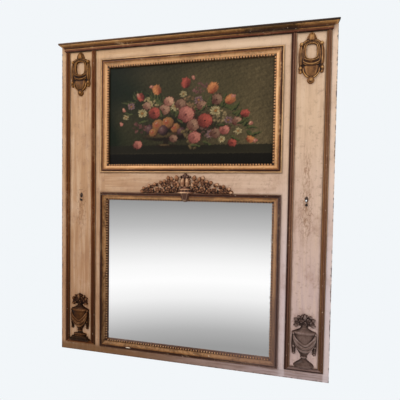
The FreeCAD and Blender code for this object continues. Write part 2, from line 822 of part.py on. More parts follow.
def crest_spray():
    """The spray of leaves and roses on the right of the middle, falling to a point."""
    hump = [(34, 38, 37, 13), (60, 35, 34, 14), (95, 31, 30, 13), (125, 26, 25, 12), (165, 21, 20, 11),
            (205, 14, 13, 9), (228, 9, 8, 6), (240, 4, 3, 3)]
    pieces = [strap(hump)]
    for x, z, radius, relief in ((62, 62, 16, 19), (90, 38, 17, 20), (118, 44, 15, 17), (148, 24, 15, 17),
                                 (170, 34, 13, 15), (202, 21, 12, 13)):
        pieces.append(dome(x, z, radius, relief))
    for x, z, tip_x, tip_z in ((54, 62, 58, 91), (78, 60, 90, 88), (112, 50, 124, 66), (158, 38, 168, 52),
                               (192, 24, 204, 41), (214, 14, 224, 31)):
        middle = ((x + tip_x) / 2, (z + tip_z) / 2, 7, 10)
        pieces.append(strap([(x, z, 8, 11), middle, (tip_x, tip_z, 1.5, 3)]))
    joint = [(-1, -1)] + [(x + crest_joint_gap, z) for x, z in crest_joint] + [(-1, crest_joint[-1][1])]
    return fuse_all(pieces).cut(prism(joint, 1, -2 * crest_joint[0][0]))


def place(shape, x, z):
    """Carving moved from its own axes to the front of the board."""
    moved = shape.copy()
    moved.translate(Vector(x, front_y, z))
    return moved


def make_carving():
    """Cartouches, urns, the left urn's plinth and the crest over the looking glass."""
    scroll = cartouche()
    field_base = pilaster_base + base_moulding_width + urn_seat_gap
    foot = [(0, 0.5, 40, 11), (0, 7, 46, 16), (0, 20, 46, 16)]
    step_top = sum(height for width, height, relief in plinth_steps)
    urns = {"left": urn([(0, step_top, 40, 14)]), "right": urn(foot)}
    for name, side in sides.items():
        parts["cartouche_" + name] = place(scroll, side * pilaster_centre, cornice_bottom - cartouche_top_gap)
        parts["urn_" + name] = place(urns[name], side * pilaster_centre, field_base)
    steps = []
    z = 0.0
    for width, height, relief in plinth_steps:
        steps.append(box(-width / 2, width / 2, 0, -relief, z, z + height))
        z += height
    parts["urn_plinth_left"] = place(fuse_all(steps), -pilaster_centre, field_base)
    crest_base = mirror_top + crest_seat_gap
    spray = crest_spray()
    parts["crest_centre"] = place(crest_centre(), 0, crest_base)
    parts["crest_spray_right"] = place(spray, 0, crest_base)
    parts["crest_spray_left"] = place(spray.mirror(Vector(0, 0, 0), Vector(1, 0, 0)), 0, crest_base)


make_stiles()
make_rails()
make_panels()
make_battens()
make_hanging_plates()
make_screws()
make_frame("painting", painting_bottom, painting_top, painting_moulding_width, painting_sight_drop)
make_frame("mirror", mirror_bottom, mirror_top, mirror_moulding_width, mirror_sight_drop)
make_pilaster_mouldings()
make_cornice()
make_canvas()
make_buttons()
make_glass()
make_hooks()
make_carving()

os.makedirs("parts", exist_ok=True)
for name, shape in parts.items():
    shape.exportStep("parts/%s.step" % name)
    print(name, len(shape.Solids), shape.isValid(), round(shape.Volume / 1000, 2), "cm3")
print(len(parts), "nodes")
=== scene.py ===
import bmesh
import bpy
import math
import numpy as np
from mathutils import Matrix, Vector


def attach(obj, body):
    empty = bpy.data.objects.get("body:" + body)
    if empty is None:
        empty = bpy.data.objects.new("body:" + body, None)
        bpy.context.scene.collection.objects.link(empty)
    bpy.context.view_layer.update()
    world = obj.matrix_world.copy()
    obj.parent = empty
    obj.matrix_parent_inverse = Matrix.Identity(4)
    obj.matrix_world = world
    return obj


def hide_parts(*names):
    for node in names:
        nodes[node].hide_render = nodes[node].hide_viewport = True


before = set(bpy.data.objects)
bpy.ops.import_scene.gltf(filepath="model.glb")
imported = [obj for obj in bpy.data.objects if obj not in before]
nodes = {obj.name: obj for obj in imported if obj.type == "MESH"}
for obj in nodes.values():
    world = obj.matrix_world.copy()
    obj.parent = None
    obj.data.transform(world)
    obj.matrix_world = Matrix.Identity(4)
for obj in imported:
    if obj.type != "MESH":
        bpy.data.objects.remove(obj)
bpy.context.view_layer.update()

# ---- the room: a pale floor level with the panel's foot, plain air round it, two soft lamps
# and the camera, which stands a little right of the middle at the height of the glass


def colour(red, green, blue):
    """A paint colour as it is seen on a screen, 0 to 255, as Blender's linear colour."""
    return tuple((((c / 255) + 0.055) / 1.055) ** 2.4 if c > 10 else c / 3295
                 for c in (red, green, blue)) + (1.0,)


def add(tree, kind, settings=None, **sockets):
    """A shader node with its settings; a socket takes a number, a colour or another node's output."""
    made = tree.nodes.new("ShaderNode" + kind)
    for name, value in (settings or {}).items():
        setattr(made, name, value)
    for name, value in sockets.items():
        number = name.lstrip("_")
        socket = made.inputs[int(number) if number.isdigit() else name.replace("_", " ")]
        value = getattr(value, "socket", value)
        if isinstance(value, bpy.types.NodeSocket):
            tree.links.new(value, socket)
        else:
            socket.default_value = colour(*value) if socket.type == "RGBA" else value
    return made


class Value:
    """A number or colour that nodes work out; sums on it add Math nodes."""

    def __init__(self, socket):
        self.socket = socket

    def sum(self, operation, first, second=0.0):
        made = add(self.socket.id_data, "Math", {"operation": operation}, _0=first, _1=second)
        return Value(made.outputs[0])

    def __rsub__(self, other):
        return self.sum("SUBTRACT", other, self)

    def __abs__(self):
        return self.sum("ABSOLUTE", self)

    def span(self, low, high, at_low=0.0, at_high=1.0):
        """A soft step from at_low to at_high while the value runs from low to high."""
        step = add(self.socket.id_data, "MapRange", {"interpolation_type": "SMOOTHSTEP"}, Value=self,
                   From_Min=low, From_Max=high, To_Min=at_low, To_Max=at_high)
        return Value(step.outputs[0])


def operator(operation):
    """A function of two values, the first of them a Value, that adds a Math node."""
    return lambda first, second: first.sum(operation, first, second)


for sign, operation in (("add", "ADD"), ("sub", "SUBTRACT"), ("mul", "MULTIPLY"), ("truediv", "DIVIDE"),
                        ("pow", "POWER"), ("gt", "GREATER_THAN")):
    setattr(Value, "__" + sign + "__", operator(operation))
larger, smaller = operator("MAXIMUM"), operator("MINIMUM")


def ramp(value, stops):
    """A row of colours along value, as (place, colour); a colour of four parts is linear already."""
    made = add(value.socket.id_data, "ValToRGB", None, Fac=value)
    row = made.color_ramp.elements
    stops = [(place, shade if len(shade) == 4 else colour(*shade)) for place, shade in stops]
    row[0].position, row[0].color = stops[0]
    row[1].position, row[1].color = stops[-1]
    for place, shade in stops[1:-1]:
        row.new(place).color = shade
    return Value(made.outputs[0])


AIR = (242, 246, 249)
FILL_LIGHT = 0.62
# what the looking glass shows: light and dark of the air by the slope of the view
AIR_SEEN = [(-0.46, 0.33), (-0.423, 0.44), (-0.381, 0.655), (-0.337, 0.88), (-0.286, 1.0), (-0.243, 0.945),
            (-0.193, 0.80), (-0.116, 0.51), (-0.037, 0.31), (0.15, 0.42), (0.6, 0.9), (1.0, 1.0)]


def direct_rays(rays):
    """1 for what the camera sees straight, or through something clear."""
    return larger(Value(rays["Is Camera Ray"]), Value(rays["Is Transmission Ray"]))


def chosen(tree, share, first, second):
    """The first shader, or the second where share is 1."""
    return add(tree, "MixShader", None, Fac=share, _1=first.outputs[0], _2=second.outputs[0])


def make_air():
    """The world: even fill light, the bright and dark bands in the glass and the plain backdrop."""
    world = bpy.data.worlds.new("plain_air")
    bpy.context.scene.world = world
    world.use_nodes = True
    air = world.node_tree
    air.nodes.clear()
    rays = add(air, "LightPath").outputs
    towards = add(air, "SeparateXYZ", None, Vector=add(air, "TexCoord").outputs["Generated"]).outputs["Z"]
    seen = ramp(Value(towards) * 0.5 + 0.5,
                [(0.5 + 0.5 * slope, (light, light, light, 1)) for slope, light in AIR_SEEN])
    fill = add(air, "Background", None, Color=(255, 255, 255), Strength=FILL_LIGHT)
    mirrored = add(air, "Background", None, Color=seen)
    backdrop = add(air, "Background", None, Color=AIR)
    indirect = chosen(air, rays["Is Glossy Ray"], fill, mirrored)
    whole = chosen(air, direct_rays(rays), indirect, backdrop)
    add(air, "OutputWorld", None, Surface=whole.outputs[0])


def new_material(name):
    """An empty material and its node tree."""
    made = bpy.data.materials.new(name)
    made.use_nodes = True
    made.node_tree.nodes.clear()
    return made, made.node_tree


def make_floor():
    """A wide pale floor that looks like the air to the camera and isn't seen from below."""
    bm = bmesh.new()
    bmesh.ops.create_grid(bm, x_segments=2, y_segments=2, size=6.0)
    bmesh.ops.translate(bm, verts=bm.verts, vec=(0, 0, -0.0005))
    mesh = bpy.data.meshes.new("floor")
    bm.to_mesh(mesh)
    bm.free()
    floor = bpy.data.objects.new("floor", mesh)
    bpy.context.scene.collection.objects.link(floor)
    material, tree = new_material("pale_floor")
    rays = add(tree, "LightPath").outputs
    matt = add(tree, "BsdfDiffuse", None, Color=(226, 228, 230))
    flat = add(tree, "Emission", None, Color=AIR)
    clear = add(tree, "BsdfTransparent")
    below = add(tree, "NewGeometry").outputs["Backfacing"]
    unseen = larger(Value(rays["Is Glossy Ray"]), Value(below))
    whole = chosen(tree, unseen, chosen(tree, direct_rays(rays), matt, flat), clear)
    add(tree, "OutputMaterial", None, Surface=whole.outputs[0])
    mesh.materials.append(material)


def make_lamp(name, place, aim, size, power):
    """A square soft lamp at place, turned to aim."""
    light = bpy.data.lights.new(name, "AREA")
    light.size = size
    light.energy = power
    lamp = bpy.data.objects.new(name, light)
    lamp.location = place
    lamp.rotation_euler = (Vector(aim) - Vector(place)).to_track_quat("-Z", "Y").to_euler()
    bpy.context.scene.collection.objects.link(lamp)


def make_camera(place, yaw, pitch, roll, lens):
    """The camera at the photograph's place, turned by yaw, pitch and roll in radians."""
    ahead = Vector((math.sin(yaw) * math.cos(pitch), math.cos(yaw) * math.cos(pitch), math.sin(pitch)))
    level = Vector((math.cos(yaw), -math.sin(yaw), 0))
    upright = level.cross(ahead)
    right = level * math.cos(roll) + upright * math.sin(roll)
    top = upright * math.cos(roll) - level * math.sin(roll)
    data = bpy.data.cameras.new("camera")
    data.lens = lens
    data.sensor_width = 36
    camera = bpy.data.objects.new("camera", data)
    turn = Matrix((right, top, -ahead)).transposed().to_4x4()
    camera.matrix_world = Matrix.Translation(place) @ turn
    bpy.context.scene.collection.objects.link(camera)
    bpy.context.scene.camera = camera


make_air()
make_floor()
make_lamp("lamp_left", (-2.4, -3.4, 3.3), (0, 0, 0.9), 2.4, 92)
make_lamp("lamp_right", (2.6, -3.6, 2.4), (0, 0, 0.9), 2.4, 30)
make_camera(Vector((0.3818, -1.5278, 0.8863)), -0.2045, -0.0308, 0.0151, lens=27.217)
bpy.context.scene.view_settings.view_transform = "Standard"

# ---- the board: stiles, rails and pilaster fields of pine, mortised, under an old cream paint
# The paint was brushed along the grain. It has aged to ochre at the lower left and to a greyish
# pink at the lower right, and is painted darker towards the foot as painted shade where the light
# falls off; dirt and painted shade lie along the mouldings, and there is bare softwood behind.

PAINTING_MIDDLE, PAINTING_HALF = 1.27195, (0.4666, 0.29605)
GLASS_MIDDLE, GLASS_HALF = 0.45415, (0.4666, 0.41625)
PILASTER_X = 0.58575
PILASTER_MIDDLE, PILASTER_HALF = 0.82945, (0.08815, 0.78855)
FIELD_MIDDLE, FIELD_HALF = 0.83805, (0.06475, 0.77905)
HOLE_X, HOLE_Z = 0.58105, 0.8525
BACKWARD = 0.4  # a face whose normal has more than this of Y looks to the wall


def mix(share, first, second, how="MIX"):
    """Two colours mixed by share; one of the three has to be a Value."""
    tree = next(v for v in (share, first, second) if isinstance(v, Value)).socket.id_data
    made = add(tree, "Mix", {"data_type": "RGBA", "blend_type": how}, _0=share, _6=first, _7=second)
    return Value(made.outputs[2])


def tinted(base, value, low, high, most, tint):
    """The base, turned to a tint by up to most while value runs from low to high."""
    return mix(value.span(low, high, 0.0, most), base, tint)


def from_box(x, z, middle_x, middle_z, half_x, half_z):
    """Distance outside an upright rectangle in metres, negative inside it."""
    return larger(abs(x - middle_x) - half_x, abs(z - middle_z) - half_z)


def oval(x, z, middle_x, middle_z, half_x, half_z):
    """1 on the line of an upright oval, less inside it."""
    return ((x - middle_x) / half_x) ** 2.0 + ((z - middle_z) / half_z) ** 2.0


def drawn_out(along, across, lengthways):
    """Scales for a noise that is drawn out along one axis."""
    return [lengthways if axis == along else across for axis in "XYZ"]


class Coat:
    """A material in the making, with the object's own coordinates as place, x, y and z."""

    def __init__(self, name):
        self.material, self.tree = new_material(name)
        self.place = add(self.tree, "TexCoord").outputs["Object"]
        parts = add(self.tree, "SeparateXYZ", None, Vector=self.place).outputs
        self.x, self.y, self.z = (Value(part) for part in parts)

    def at(self, sizes):
        """The coordinates, scaled by sizes."""
        if not sizes:
            return self.place
        return add(self.tree, "Mapping", None, Vector=self.place, Scale=sizes).outputs[0]

    def noise(self, scale, detail, roughness=0.55, distortion=0.0, sizes=None):
        """Cloudy noise from 0 to 1."""
        made = add(self.tree, "TexNoise", None, Vector=self.at(sizes), Scale=scale, Detail=detail,
                   Roughness=roughness, Distortion=distortion)
        return Value(made.outputs["Fac"])

    def cracks(self, scale, sizes=None):
        """A net of lines: the distance to the nearest of them."""
        made = add(self.tree, "TexVoronoi", {"feature": "DISTANCE_TO_EDGE"}, Vector=self.at(sizes),
                   Scale=scale)
        return Value(made.outputs["Distance"])

    def drawn(self, layer, output="Fac"):
        """What a layer of the mesh holds."""
        return Value(add(self.tree, "Attribute", {"attribute_name": layer}).outputs[output])

    def facing(self):
        """How far the surface faces the wall: 1 at the back, -1 at the front."""
        normal = add(self.tree, "NewGeometry").outputs["Normal"]
        return Value(add(self.tree, "SeparateXYZ", None, Vector=normal).outputs["Y"])

    def shade(self, base, roughness, height, distance, strength=0.5, **extra):
        """The main shader over a surface roughened by height, in metres of distance."""
        bump = add(self.tree, "Bump", None, Height=height, Distance=distance, Strength=strength)
        shader = add(self.tree, "BsdfPrincipled", None, Base_Color=base, Roughness=roughness,
                     Normal=bump.outputs[0], **extra)
        add(self.tree, "OutputMaterial", None, Surface=shader.outputs[0])
        return self.material


def softwood(coat, along):
    """The colour and relief of bare, darkened softwood with its grain along an axis."""
    grain = coat.noise(2.2, 8, 0.65, 0.6, drawn_out(along, 26.0, 1.6))
    wood = ramp(grain, [(0.3, (96, 68, 44)), (0.5, (138, 102, 68)), (0.68, (168, 130, 90))])
    return tinted(wood, coat.noise(3.0, 3), 0.35, 0.7, 0.45, (92, 70, 50)), grain


def aged_and_shaded_paint(name, along):
    """Cream paint brushed along an axis, with its age, dirt, chips, painted shade and the bare back."""
    coat = Coat(name)
    x, y, z, noise = coat.x, coat.y, coat.z, coat.noise
    side_x = abs(x)
    wander = noise(1.7, 3) * 0.5 - 0.25
    across = (x + wander).span(-0.62, 0.6)
    # ochre at the lower left, greyish pink at the lower right, and painted darker towards the foot: painted
    # shade where the light falls off
    paint = mix((z + wander).span(0.25, 1.35), mix(across, (168, 124, 88), (198, 170, 163)),
                mix(across, (183, 141, 102), (212, 178, 146)))
    # brush streaks and clouds of tone
    brushed = drawn_out(along, 30.0, 2.0)
    streak = noise(1.8, 7, 0.62, 0.3, brushed)
    cloud = noise(7.5, 7, 0.66)
    mottle = noise(48, 6, 0.72)
    paint = tinted(paint, streak, 0.42, 0.68, 0.34, (224, 196, 168))
    paint = tinted(paint, streak, 0.50, 0.28, 0.34, (146, 108, 84))
    paint = tinted(paint, cloud, 0.50, 0.72, 0.42, (156, 114, 86))
    paint = tinted(paint, cloud, 0.45, 0.25, 0.3, (222, 194, 170))
    paint = tinted(paint, mottle, 0.52, 0.68, 0.44, (142, 106, 86))
    # dirt and painted shade in the corners along every moulding
    far = smaller(from_box(x, z, 0, PAINTING_MIDDLE, *PAINTING_HALF),
                  from_box(x, z, 0, GLASS_MIDDLE, *GLASS_HALF))
    outer = abs(from_box(side_x, z, PILASTER_X, PILASTER_MIDDLE, *PILASTER_HALF))
    field = from_box(side_x, z, PILASTER_X, FIELD_MIDDLE, *FIELD_HALF) * -1
    inside = field > 0.0
    far = smaller(far, inside * field + (1 - inside) * outer)
    reach = noise(22, 5, 0.65) * 0.022 - 0.001
    paint = tinted(paint, far / reach, 1.0, 0.0, 0.62, (112, 78, 52))
    # the worn, dirty foot of the board, lighter towards the right
    foot_tone = mix((x + wander).span(-0.35, 0.7), (108, 70, 32), (176, 156, 156))
    foot_tone = tinted(foot_tone, noise(2.0, 6, 0.65, sizes=(3, 40, 40)), 0.4, 0.62, 0.6, (96, 66, 44))
    paint = tinted(paint, noise(16, 5, 0.7) * 0.04 + z, 0.078, 0.044, 0.82, foot_tone)
    # the top rail was touched up once; right under the cornice it is painted darker, as painted shade of the
    # cornice
    touched = mix(across, (218, 178, 134), (226, 196, 166))
    paint = tinted(paint, z, 1.568, 1.585, 0.45, touched)
    paint = tinted(paint, z, 1.590, 1.618, 0.3, (140, 100, 68))
    # drip stains below the sconce holes, with a stained patch above the right one
    down = (side_x + (streak * 0.03 - 0.015)).span(0.611, 0.585) * side_x.span(0.546, 0.58)
    length = z.span(0.56, 0.76) * z.span(1.15, 0.98) * larger(x > 0.0, z.span(0.885, 0.84))
    broken = noise(1.3, 6, 0.75, sizes=(60, 60, 22)).span(0.42, 0.62)
    paint = mix(down * length * broken * 0.74, paint, (136, 94, 60))
    # crazed paint round the holes' drips
    craze = (mottle * 0.12 + coat.cracks(1.0, (70, 70, 26))).span(0.115, 0.06)
    near = side_x.span(0.540, 0.560) * side_x.span(0.622, 0.600) * z.span(0.60, 0.78) * z.span(0.91, 0.87)
    paint = mix(craze * near * 0.65, paint, (112, 76, 48))
    # the strips beside the right pilaster were wiped: paler and cooler
    wiped = abs(side_x - PILASTER_X).span(0.082, 0.092) * x.span(0.44, 0.5, 0.0, 0.65)
    wiped_tone = mix(x.span(0.58, 0.60), (212, 176, 146), (232, 204, 182))
    wiped_tone = mix(z.span(0.5, 1.1), (218, 202, 202), wiped_tone)
    paint = mix(wiped * cloud.span(0.7, 0.4, 0.5, 1.0), paint, wiped_tone)
    # soot round each candle arm's hole, most of it above
    soot = oval(side_x, z, HOLE_X, HOLE_Z, 0.0085, 0.0145) + (mottle * 0.9 - 0.45)
    paint = tinted(paint, soot, 1.25, 0.75, 0.92, (44, 28, 22))
    # chips along the outer edges show the dark ground
    edge = smaller(0.7 - side_x, z)
    worn_edge = smaller(edge.span(0.010, 0.0, 0.0, 0.31), edge.span(0.00001, 0.0003, 0.12, 0.31))
    chipped = (noise(55, 5, 0.7) + worn_edge).span(0.78, 0.81)
    paint = mix(chipped * 0.85, paint, (66, 46, 36))
    # fine cracks
    crack = coat.cracks(3.0, [size * 1.6 for size in brushed]).span(0.028, 0.0) * cloud.span(0.45, 0.62)
    paint = mix(crack * 0.22, paint, (104, 74, 54))
    # the back and the inner faces were never painted
    behind = larger(coat.facing() > BACKWARD, y > -0.0225)
    return coat.shade(mix(behind, paint, softwood(coat, along)[0]), cloud.span(0.3, 0.7, 0.58, 0.76),
                      streak * 0.5 - (chipped + crack), 0.0006, 0.6, Specular_IOR_Level=0.28)


def dress(names, material):
    """All slots of the CAD nodes take one material."""
    for name in names.split():
        for slot in nodes[name].material_slots:
            slot.material = material


dress("outer_stile_left outer_stile_right inner_stile_left inner_stile_right pilaster_panel_left "
      "pilaster_panel_right", aged_and_shaded_paint("aged_and_shaded_paint_upright", "Z"))
dress("top_rail middle_rail bottom_rail", aged_and_shaded_paint("aged_and_shaded_paint_level", "X"))

# ---- the back: battens, stretcher, backboards and cleats of bare softwood, screwed or slotted
# They were never seen, so the wood was left as it was sawn and has gone brown with dust. The
# turn buttons that hold the stretcher are of paler wood, each on one screw.


def bare_wood(name, along, paler=0.0):
    """Dusty bare softwood with its grain along an axis, paler by that share."""
    coat = Coat(name)
    wood, grain = softwood(coat, along)
    wood = mix(paler, wood, (206, 168, 122))
    return coat.shade(tinted(wood, coat.noise(11, 5, 0.6), 0.45, 0.7, 0.3, (150, 136, 118)),
                      grain.span(0.3, 0.7, 0.85, 0.68), grain, 0.0005)


dress("stretcher_left stretcher_right stretcher_crossbar mirror_backboard_left mirror_backboard_right",
      bare_wood("bare_wood_upright", "Z"))
dress("turn_button_lower_left turn_button_upper_left turn_button_lower_right turn_button_upper_right",
      bare_wood("bare_wood_pale", "X", 0.5))
dress("back_batten_bottom back_batten_middle back_batten_top stretcher_top stretcher_bottom stretcher_keys "
      "backboard_cleat_lower backboard_cleat_upper glass_setting_blocks", bare_wood("bare_wood_level", "X"))

# ---- the iron: hanging plates, screws, tacks and the two sconce hooks
# Wrought iron, nearly black, with brown rust in spots and a worn gleam on high places.

iron = Coat("dark_iron")
rust = iron.noise(180, 5, 0.65)
dress("hanging_plates wood_screws small_screws canvas_tacks sconce_hooks",
      iron.shade(ramp(rust, [(0.38, (44, 38, 36)), (0.56, (62, 52, 46)), (0.7, (104, 66, 42))]),
                 iron.noise(60, 3).span(0.3, 0.7, 0.38, 0.62), rust, 0.0002, Metallic=0.75))

# ---- the gilt mouldings: lime wood, gesso, red-brown bole and leaf, glued on, rubbed and dirty
# Each is coloured across its section by t, the share of its width from the outer edge, so the
# tones meet in the mitres. Leaf stays on the crests, brown dirt lies in the hollows, and the
# bands also paint light on the crests and shade in the hollows and under the beading.

UMBER = (42, 25, 16)
BOLE = (92, 50, 30)
BROWN_GILT = (126, 80, 44)
OLD_GOLD = (172, 118, 68)
PEACH_GOLD = (208, 155, 104)
PALE_GOLD = (232, 192, 142)


def worn_and_shaded_gilt(name, share_of, bands, wear, dark=0.0, cool=0.0, *, streaks, gleam=0.35, shine=0.3,
              big_chip=None, foot=None, smear=None):
    """Gilding whose tone follows bands of (t, colour); share_of(x, z) gives t.

    wear shows more bole and dirt, dark deepens all of it, cool greys it to the right, streaks
    is the axis that draws the wear out, gleam the strength of the bright spots and shine how
    much it reflects. big_chip is the place of a chip down to the white gesso, foot the share and
    tone it darkens to towards the floor, smear the middle and half length of a sooty patch."""
    coat = Coat(name)
    x, z = coat.x, coat.z
    tone = ramp(share_of(x, z) + (coat.noise(40, 4) * 0.08 - 0.04), bands)
    patch = coat.noise(13, 6, 0.68, 0.5, drawn_out(streaks, 1.0, 0.35))
    fine = coat.noise(75, 5, 0.7)
    tone = tinted(tone, fine * 0.45 + patch, 0.78, 0.62, wear, mix(fine.span(0.4, 0.6), UMBER, BOLE))
    tone = tinted(tone, fine * 0.5 + patch, 0.80, 0.95, gleam, PALE_GOLD)
    tone = mix(dark, tone, UMBER)
    if foot:
        tone = tinted(tone, z, 0.75, 0.05, *foot)
    if smear:
        tone = tinted(tone, abs(x - smear[0]) / smear[1] + fine, 1.5, 1.0, 0.72, (26, 16, 11))
    tone = tinted(tone, x, 0.0, 0.42, cool, (124, 98, 92))
    tone = tinted(tone, coat.noise(110, 3, 0.6), 0.69, 0.72, 0.75, (214, 190, 162))
    if big_chip:
        off = fine * 0.9 + oval(x, z, *big_chip, 0.013, 0.0045)
        tone = tinted(tone, off, 1.6, 1.3, 1.0, (240, 222, 198))
    return coat.shade(mix(coat.facing() > BACKWARD, tone, softwood(coat, "X")[0]),
                      fine.span(0.35, 0.65, 0.36, 0.6), fine + patch * 0.6, 0.0007,
                      Metallic=shine * 0.85, Specular_IOR_Level=shine)


def inside_frame(middle, half, width):
    """t for a picture moulding: 0 at its outer edge, 1 at the sight edge."""
    return lambda x, z: from_box(x, z, 0, middle, *half) * (-1 / width)


def height_share(low, high):
    """t for a level moulding: 0 at the height low and 1 at high."""
    return lambda x, z: (z - low) / (high - low)


def reed_share(sign):
    """t for an upright pilaster moulding, 0 at the field and 1 at the far side."""
    return lambda x, z: ((abs(x) - PILASTER_X) * sign - FIELD_HALF[0]) / REED_WIDTH


# across each section: gilt, bole and dirt, with painted light on the rounds, painted shade in the quirks and
# a painted shadow under the beading
PAINTING_BANDS = [(0.0, BROWN_GILT), (0.05, PALE_GOLD), (0.13, OLD_GOLD), (0.18, BOLE),
                  (0.26, (62, 34, 22)), (0.32, BOLE), (0.38, BROWN_GILT), (0.46, OLD_GOLD),
                  (0.56, (216, 164, 114)), (0.72, (216, 164, 114)), (0.78, OLD_GOLD), (0.83, UMBER),
                  (0.96, UMBER), (1.0, (96, 60, 34))]
GLASS_BANDS = [(0.0, (62, 34, 22)), (0.07, (84, 46, 28)), (0.13, (92, 56, 40)), (0.26, (78, 44, 32)),
               (0.33, (52, 28, 18)), (0.40, BROWN_GILT), (0.48, OLD_GOLD), (0.56, PEACH_GOLD),
               (0.72, PEACH_GOLD), (0.79, OLD_GOLD), (0.84, UMBER), (0.95, UMBER), (1.0, (112, 68, 38))]
PAINTING_WIDTH, GLASS_WIDTH, REED_WIDTH = 0.044, 0.0395, 0.0234
for bar, axis, wear, dark in (("top", "X", 0.45, 0.04), ("right", "Z", 0.35, 0.0), ("bottom", "X", 0.2, 0.0),
                              ("left", "Z", 0.2, 0.0)):
    share_of = inside_frame(PAINTING_MIDDLE, PAINTING_HALF, PAINTING_WIDTH)
    dress("painting_frame_" + bar,
          worn_and_shaded_gilt("painting_gilt_" + bar, share_of, PAINTING_BANDS, wear, dark, streaks=axis))
for bar, axis, wear, dark, cool, shine, foot, chip in (
        ("top", "X", 0.5, 0.05, 0.0, 0.3, None, None),
        ("right", "Z", 0.5, 0.12, 0.3, 0.3, (0.68, (92, 68, 60)), None),
        ("bottom", "X", 0.6, 0.38, 0.5, 0.1, (0.12, UMBER), (-0.300, 0.050)),
        ("left", "Z", 0.75, 0.3, 0.0, 0.1, (0.6, UMBER), None)):
    share_of = inside_frame(GLASS_MIDDLE, GLASS_HALF, GLASS_WIDTH)
    dress("mirror_frame_" + bar, worn_and_shaded_gilt("mirror_gilt_" + bar, share_of, GLASS_BANDS, wear, dark, cool,
                                           streaks=axis, big_chip=chip, shine=shine, foot=foot))

BASE_TOP, BASE_FOOT = 0.059, 0.0409
# the reeds' bands: gilt and bole tones with painted light on the rounds and painted shade in the quirks
LEFT_REEDS = [(0.0, (42, 20, 10)), (0.08, (126, 72, 32)), (0.30, (130, 76, 36)), (0.40, (46, 22, 12)),
              (0.48, (88, 42, 16)), (0.66, (98, 46, 14)), (0.74, (46, 22, 12)), (0.84, (156, 104, 58)),
              (0.92, (110, 64, 34)), (1.0, (52, 28, 16))]
RIGHT_REEDS = [(0.0, UMBER), (0.08, (142, 98, 64)), (0.34, (134, 90, 58)), (0.42, (84, 54, 38)),
               (0.50, (128, 86, 62)), (0.64, (124, 82, 60)), (0.70, (74, 46, 34)), (0.77, (132, 94, 64)),
               (0.86, (158, 122, 92)), (0.92, (104, 68, 46)), (1.0, (62, 38, 26))]
RIGHT_INNER = [(0.0, UMBER), (0.08, (148, 108, 82)), (0.30, (130, 90, 66)), (0.38, (66, 38, 28)),
               (0.50, (118, 80, 60)), (0.66, (108, 70, 54)), (0.75, (62, 34, 26)), (0.9, (66, 36, 28)),
               (1.0, (48, 27, 20))]
RIGHT_BASE = [(0.0, (84, 62, 56)), (0.15, (124, 100, 94)), (0.36, (140, 114, 106)), (0.46, (88, 64, 58)),
              (0.60, (112, 86, 80)), (0.72, (54, 38, 34)), (0.86, (44, 30, 26)), (1.0, (96, 74, 68))]
for side, outer, inner, base, foot in (("left", LEFT_REEDS, LEFT_REEDS, LEFT_REEDS, (0.6, (34, 16, 9))),
                                       ("right", RIGHT_REEDS, RIGHT_INNER, RIGHT_BASE, (0.5, (66, 46, 40)))):
    for part, share_of, bands in (("outer", reed_share(1), outer), ("inner", reed_share(-1), inner),
                                  ("base", height_share(BASE_TOP, BASE_FOOT), base)):
        level = part == "base"
        dress("pilaster_moulding_%s_%s" % (side, part),
              worn_and_shaded_gilt("reeds_%s_%s" % (side, part), share_of, bands, 0.2, gleam=0.1, shine=0.1,
                        streaks="X" if level else "Z", foot=None if level else foot))

BEAD_FOOT, CROWN_FOOT, CAP_FOOT = 1.618, 1.629, 1.648
# the bed bead and crown by height: gilt and bole tones with painted light on the rounds and painted shade in
# the cove and at the edges
BEAD_BANDS = [(0.0, (34, 20, 13)), (0.22, (88, 48, 32)), (0.6, (122, 72, 48)), (0.86, (104, 60, 38)),
              (1.0, (46, 26, 16))]
CROWN_BANDS = [(0.0, (116, 76, 42)), (0.06, (182, 130, 76)), (0.15, (150, 100, 54)), (0.22, (50, 29, 17)),
               (0.45, (82, 49, 27)), (0.62, (112, 70, 38)), (0.76, (150, 102, 56)), (0.84, (202, 152, 94)),
               (0.94, (190, 140, 84)), (1.0, (108, 68, 38))]
dress("cornice_bed_bead", worn_and_shaded_gilt("bed_bead_gilt", height_share(BEAD_FOOT, CROWN_FOOT), BEAD_BANDS,
                                    0.35, gleam=0.15, streaks="X", shine=0.15))
dress("cornice_crown", worn_and_shaded_gilt("crown_gilt", height_share(CROWN_FOOT, CAP_FOOT), CROWN_BANDS, 0.4,
                                 streaks="X", shine=0.18, smear=(0.40, 0.17)))

cap = Coat("black_cap")
grain = cap.noise(2.4, 7, 0.6, sizes=(2, 30, 30))
rub = cap.noise(30, 5, 0.7)
stain = ramp(grain, [(0.3, (34, 23, 16)), (0.7, (70, 47, 30))])
stain = tinted(stain, cap.x + rub, 0.5, 0.1, 0.6, (112, 76, 46))
stain = tinted(stain, rub, 0.6, 0.75, 0.6, (126, 92, 62))
dress("cornice_cap", cap.shade(stain, rub.span(0.3, 0.7, 0.5, 0.7), grain, 0.0006, Specular_IOR_Level=0.25))

# ---- the beading: a row of rounded leaf tips along each sight edge
# The tips are cut in the solid of the moulding and gilt; the gaps between them show the moulding's dark band,
# a painted shadow.

PITCH = 0.0136
TIP_BACK, TIP_HALF, TIP_RISE = 0.0052, 0.0054, 0.0036


def settle(name, mesh, material, replaced=()):
    """A finished mesh becomes a piece that rides on the board."""
    for face in mesh.polygons:
        face.use_smooth = True
    mesh.materials.clear()
    mesh.materials.append(material)
    piece = bpy.data.objects.new(name, mesh)
    bpy.context.scene.collection.objects.link(piece)
    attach(piece, "board")
    if replaced:
        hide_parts(*replaced)
    return piece


def to_mesh(bm, name):
    """The shapes become a mesh with their faces outwards."""
    bmesh.ops.recalc_face_normals(bm, faces=bm.faces)
    mesh = bpy.data.meshes.new(name)
    bm.to_mesh(mesh)
    bm.free()
    return mesh


balls = {}


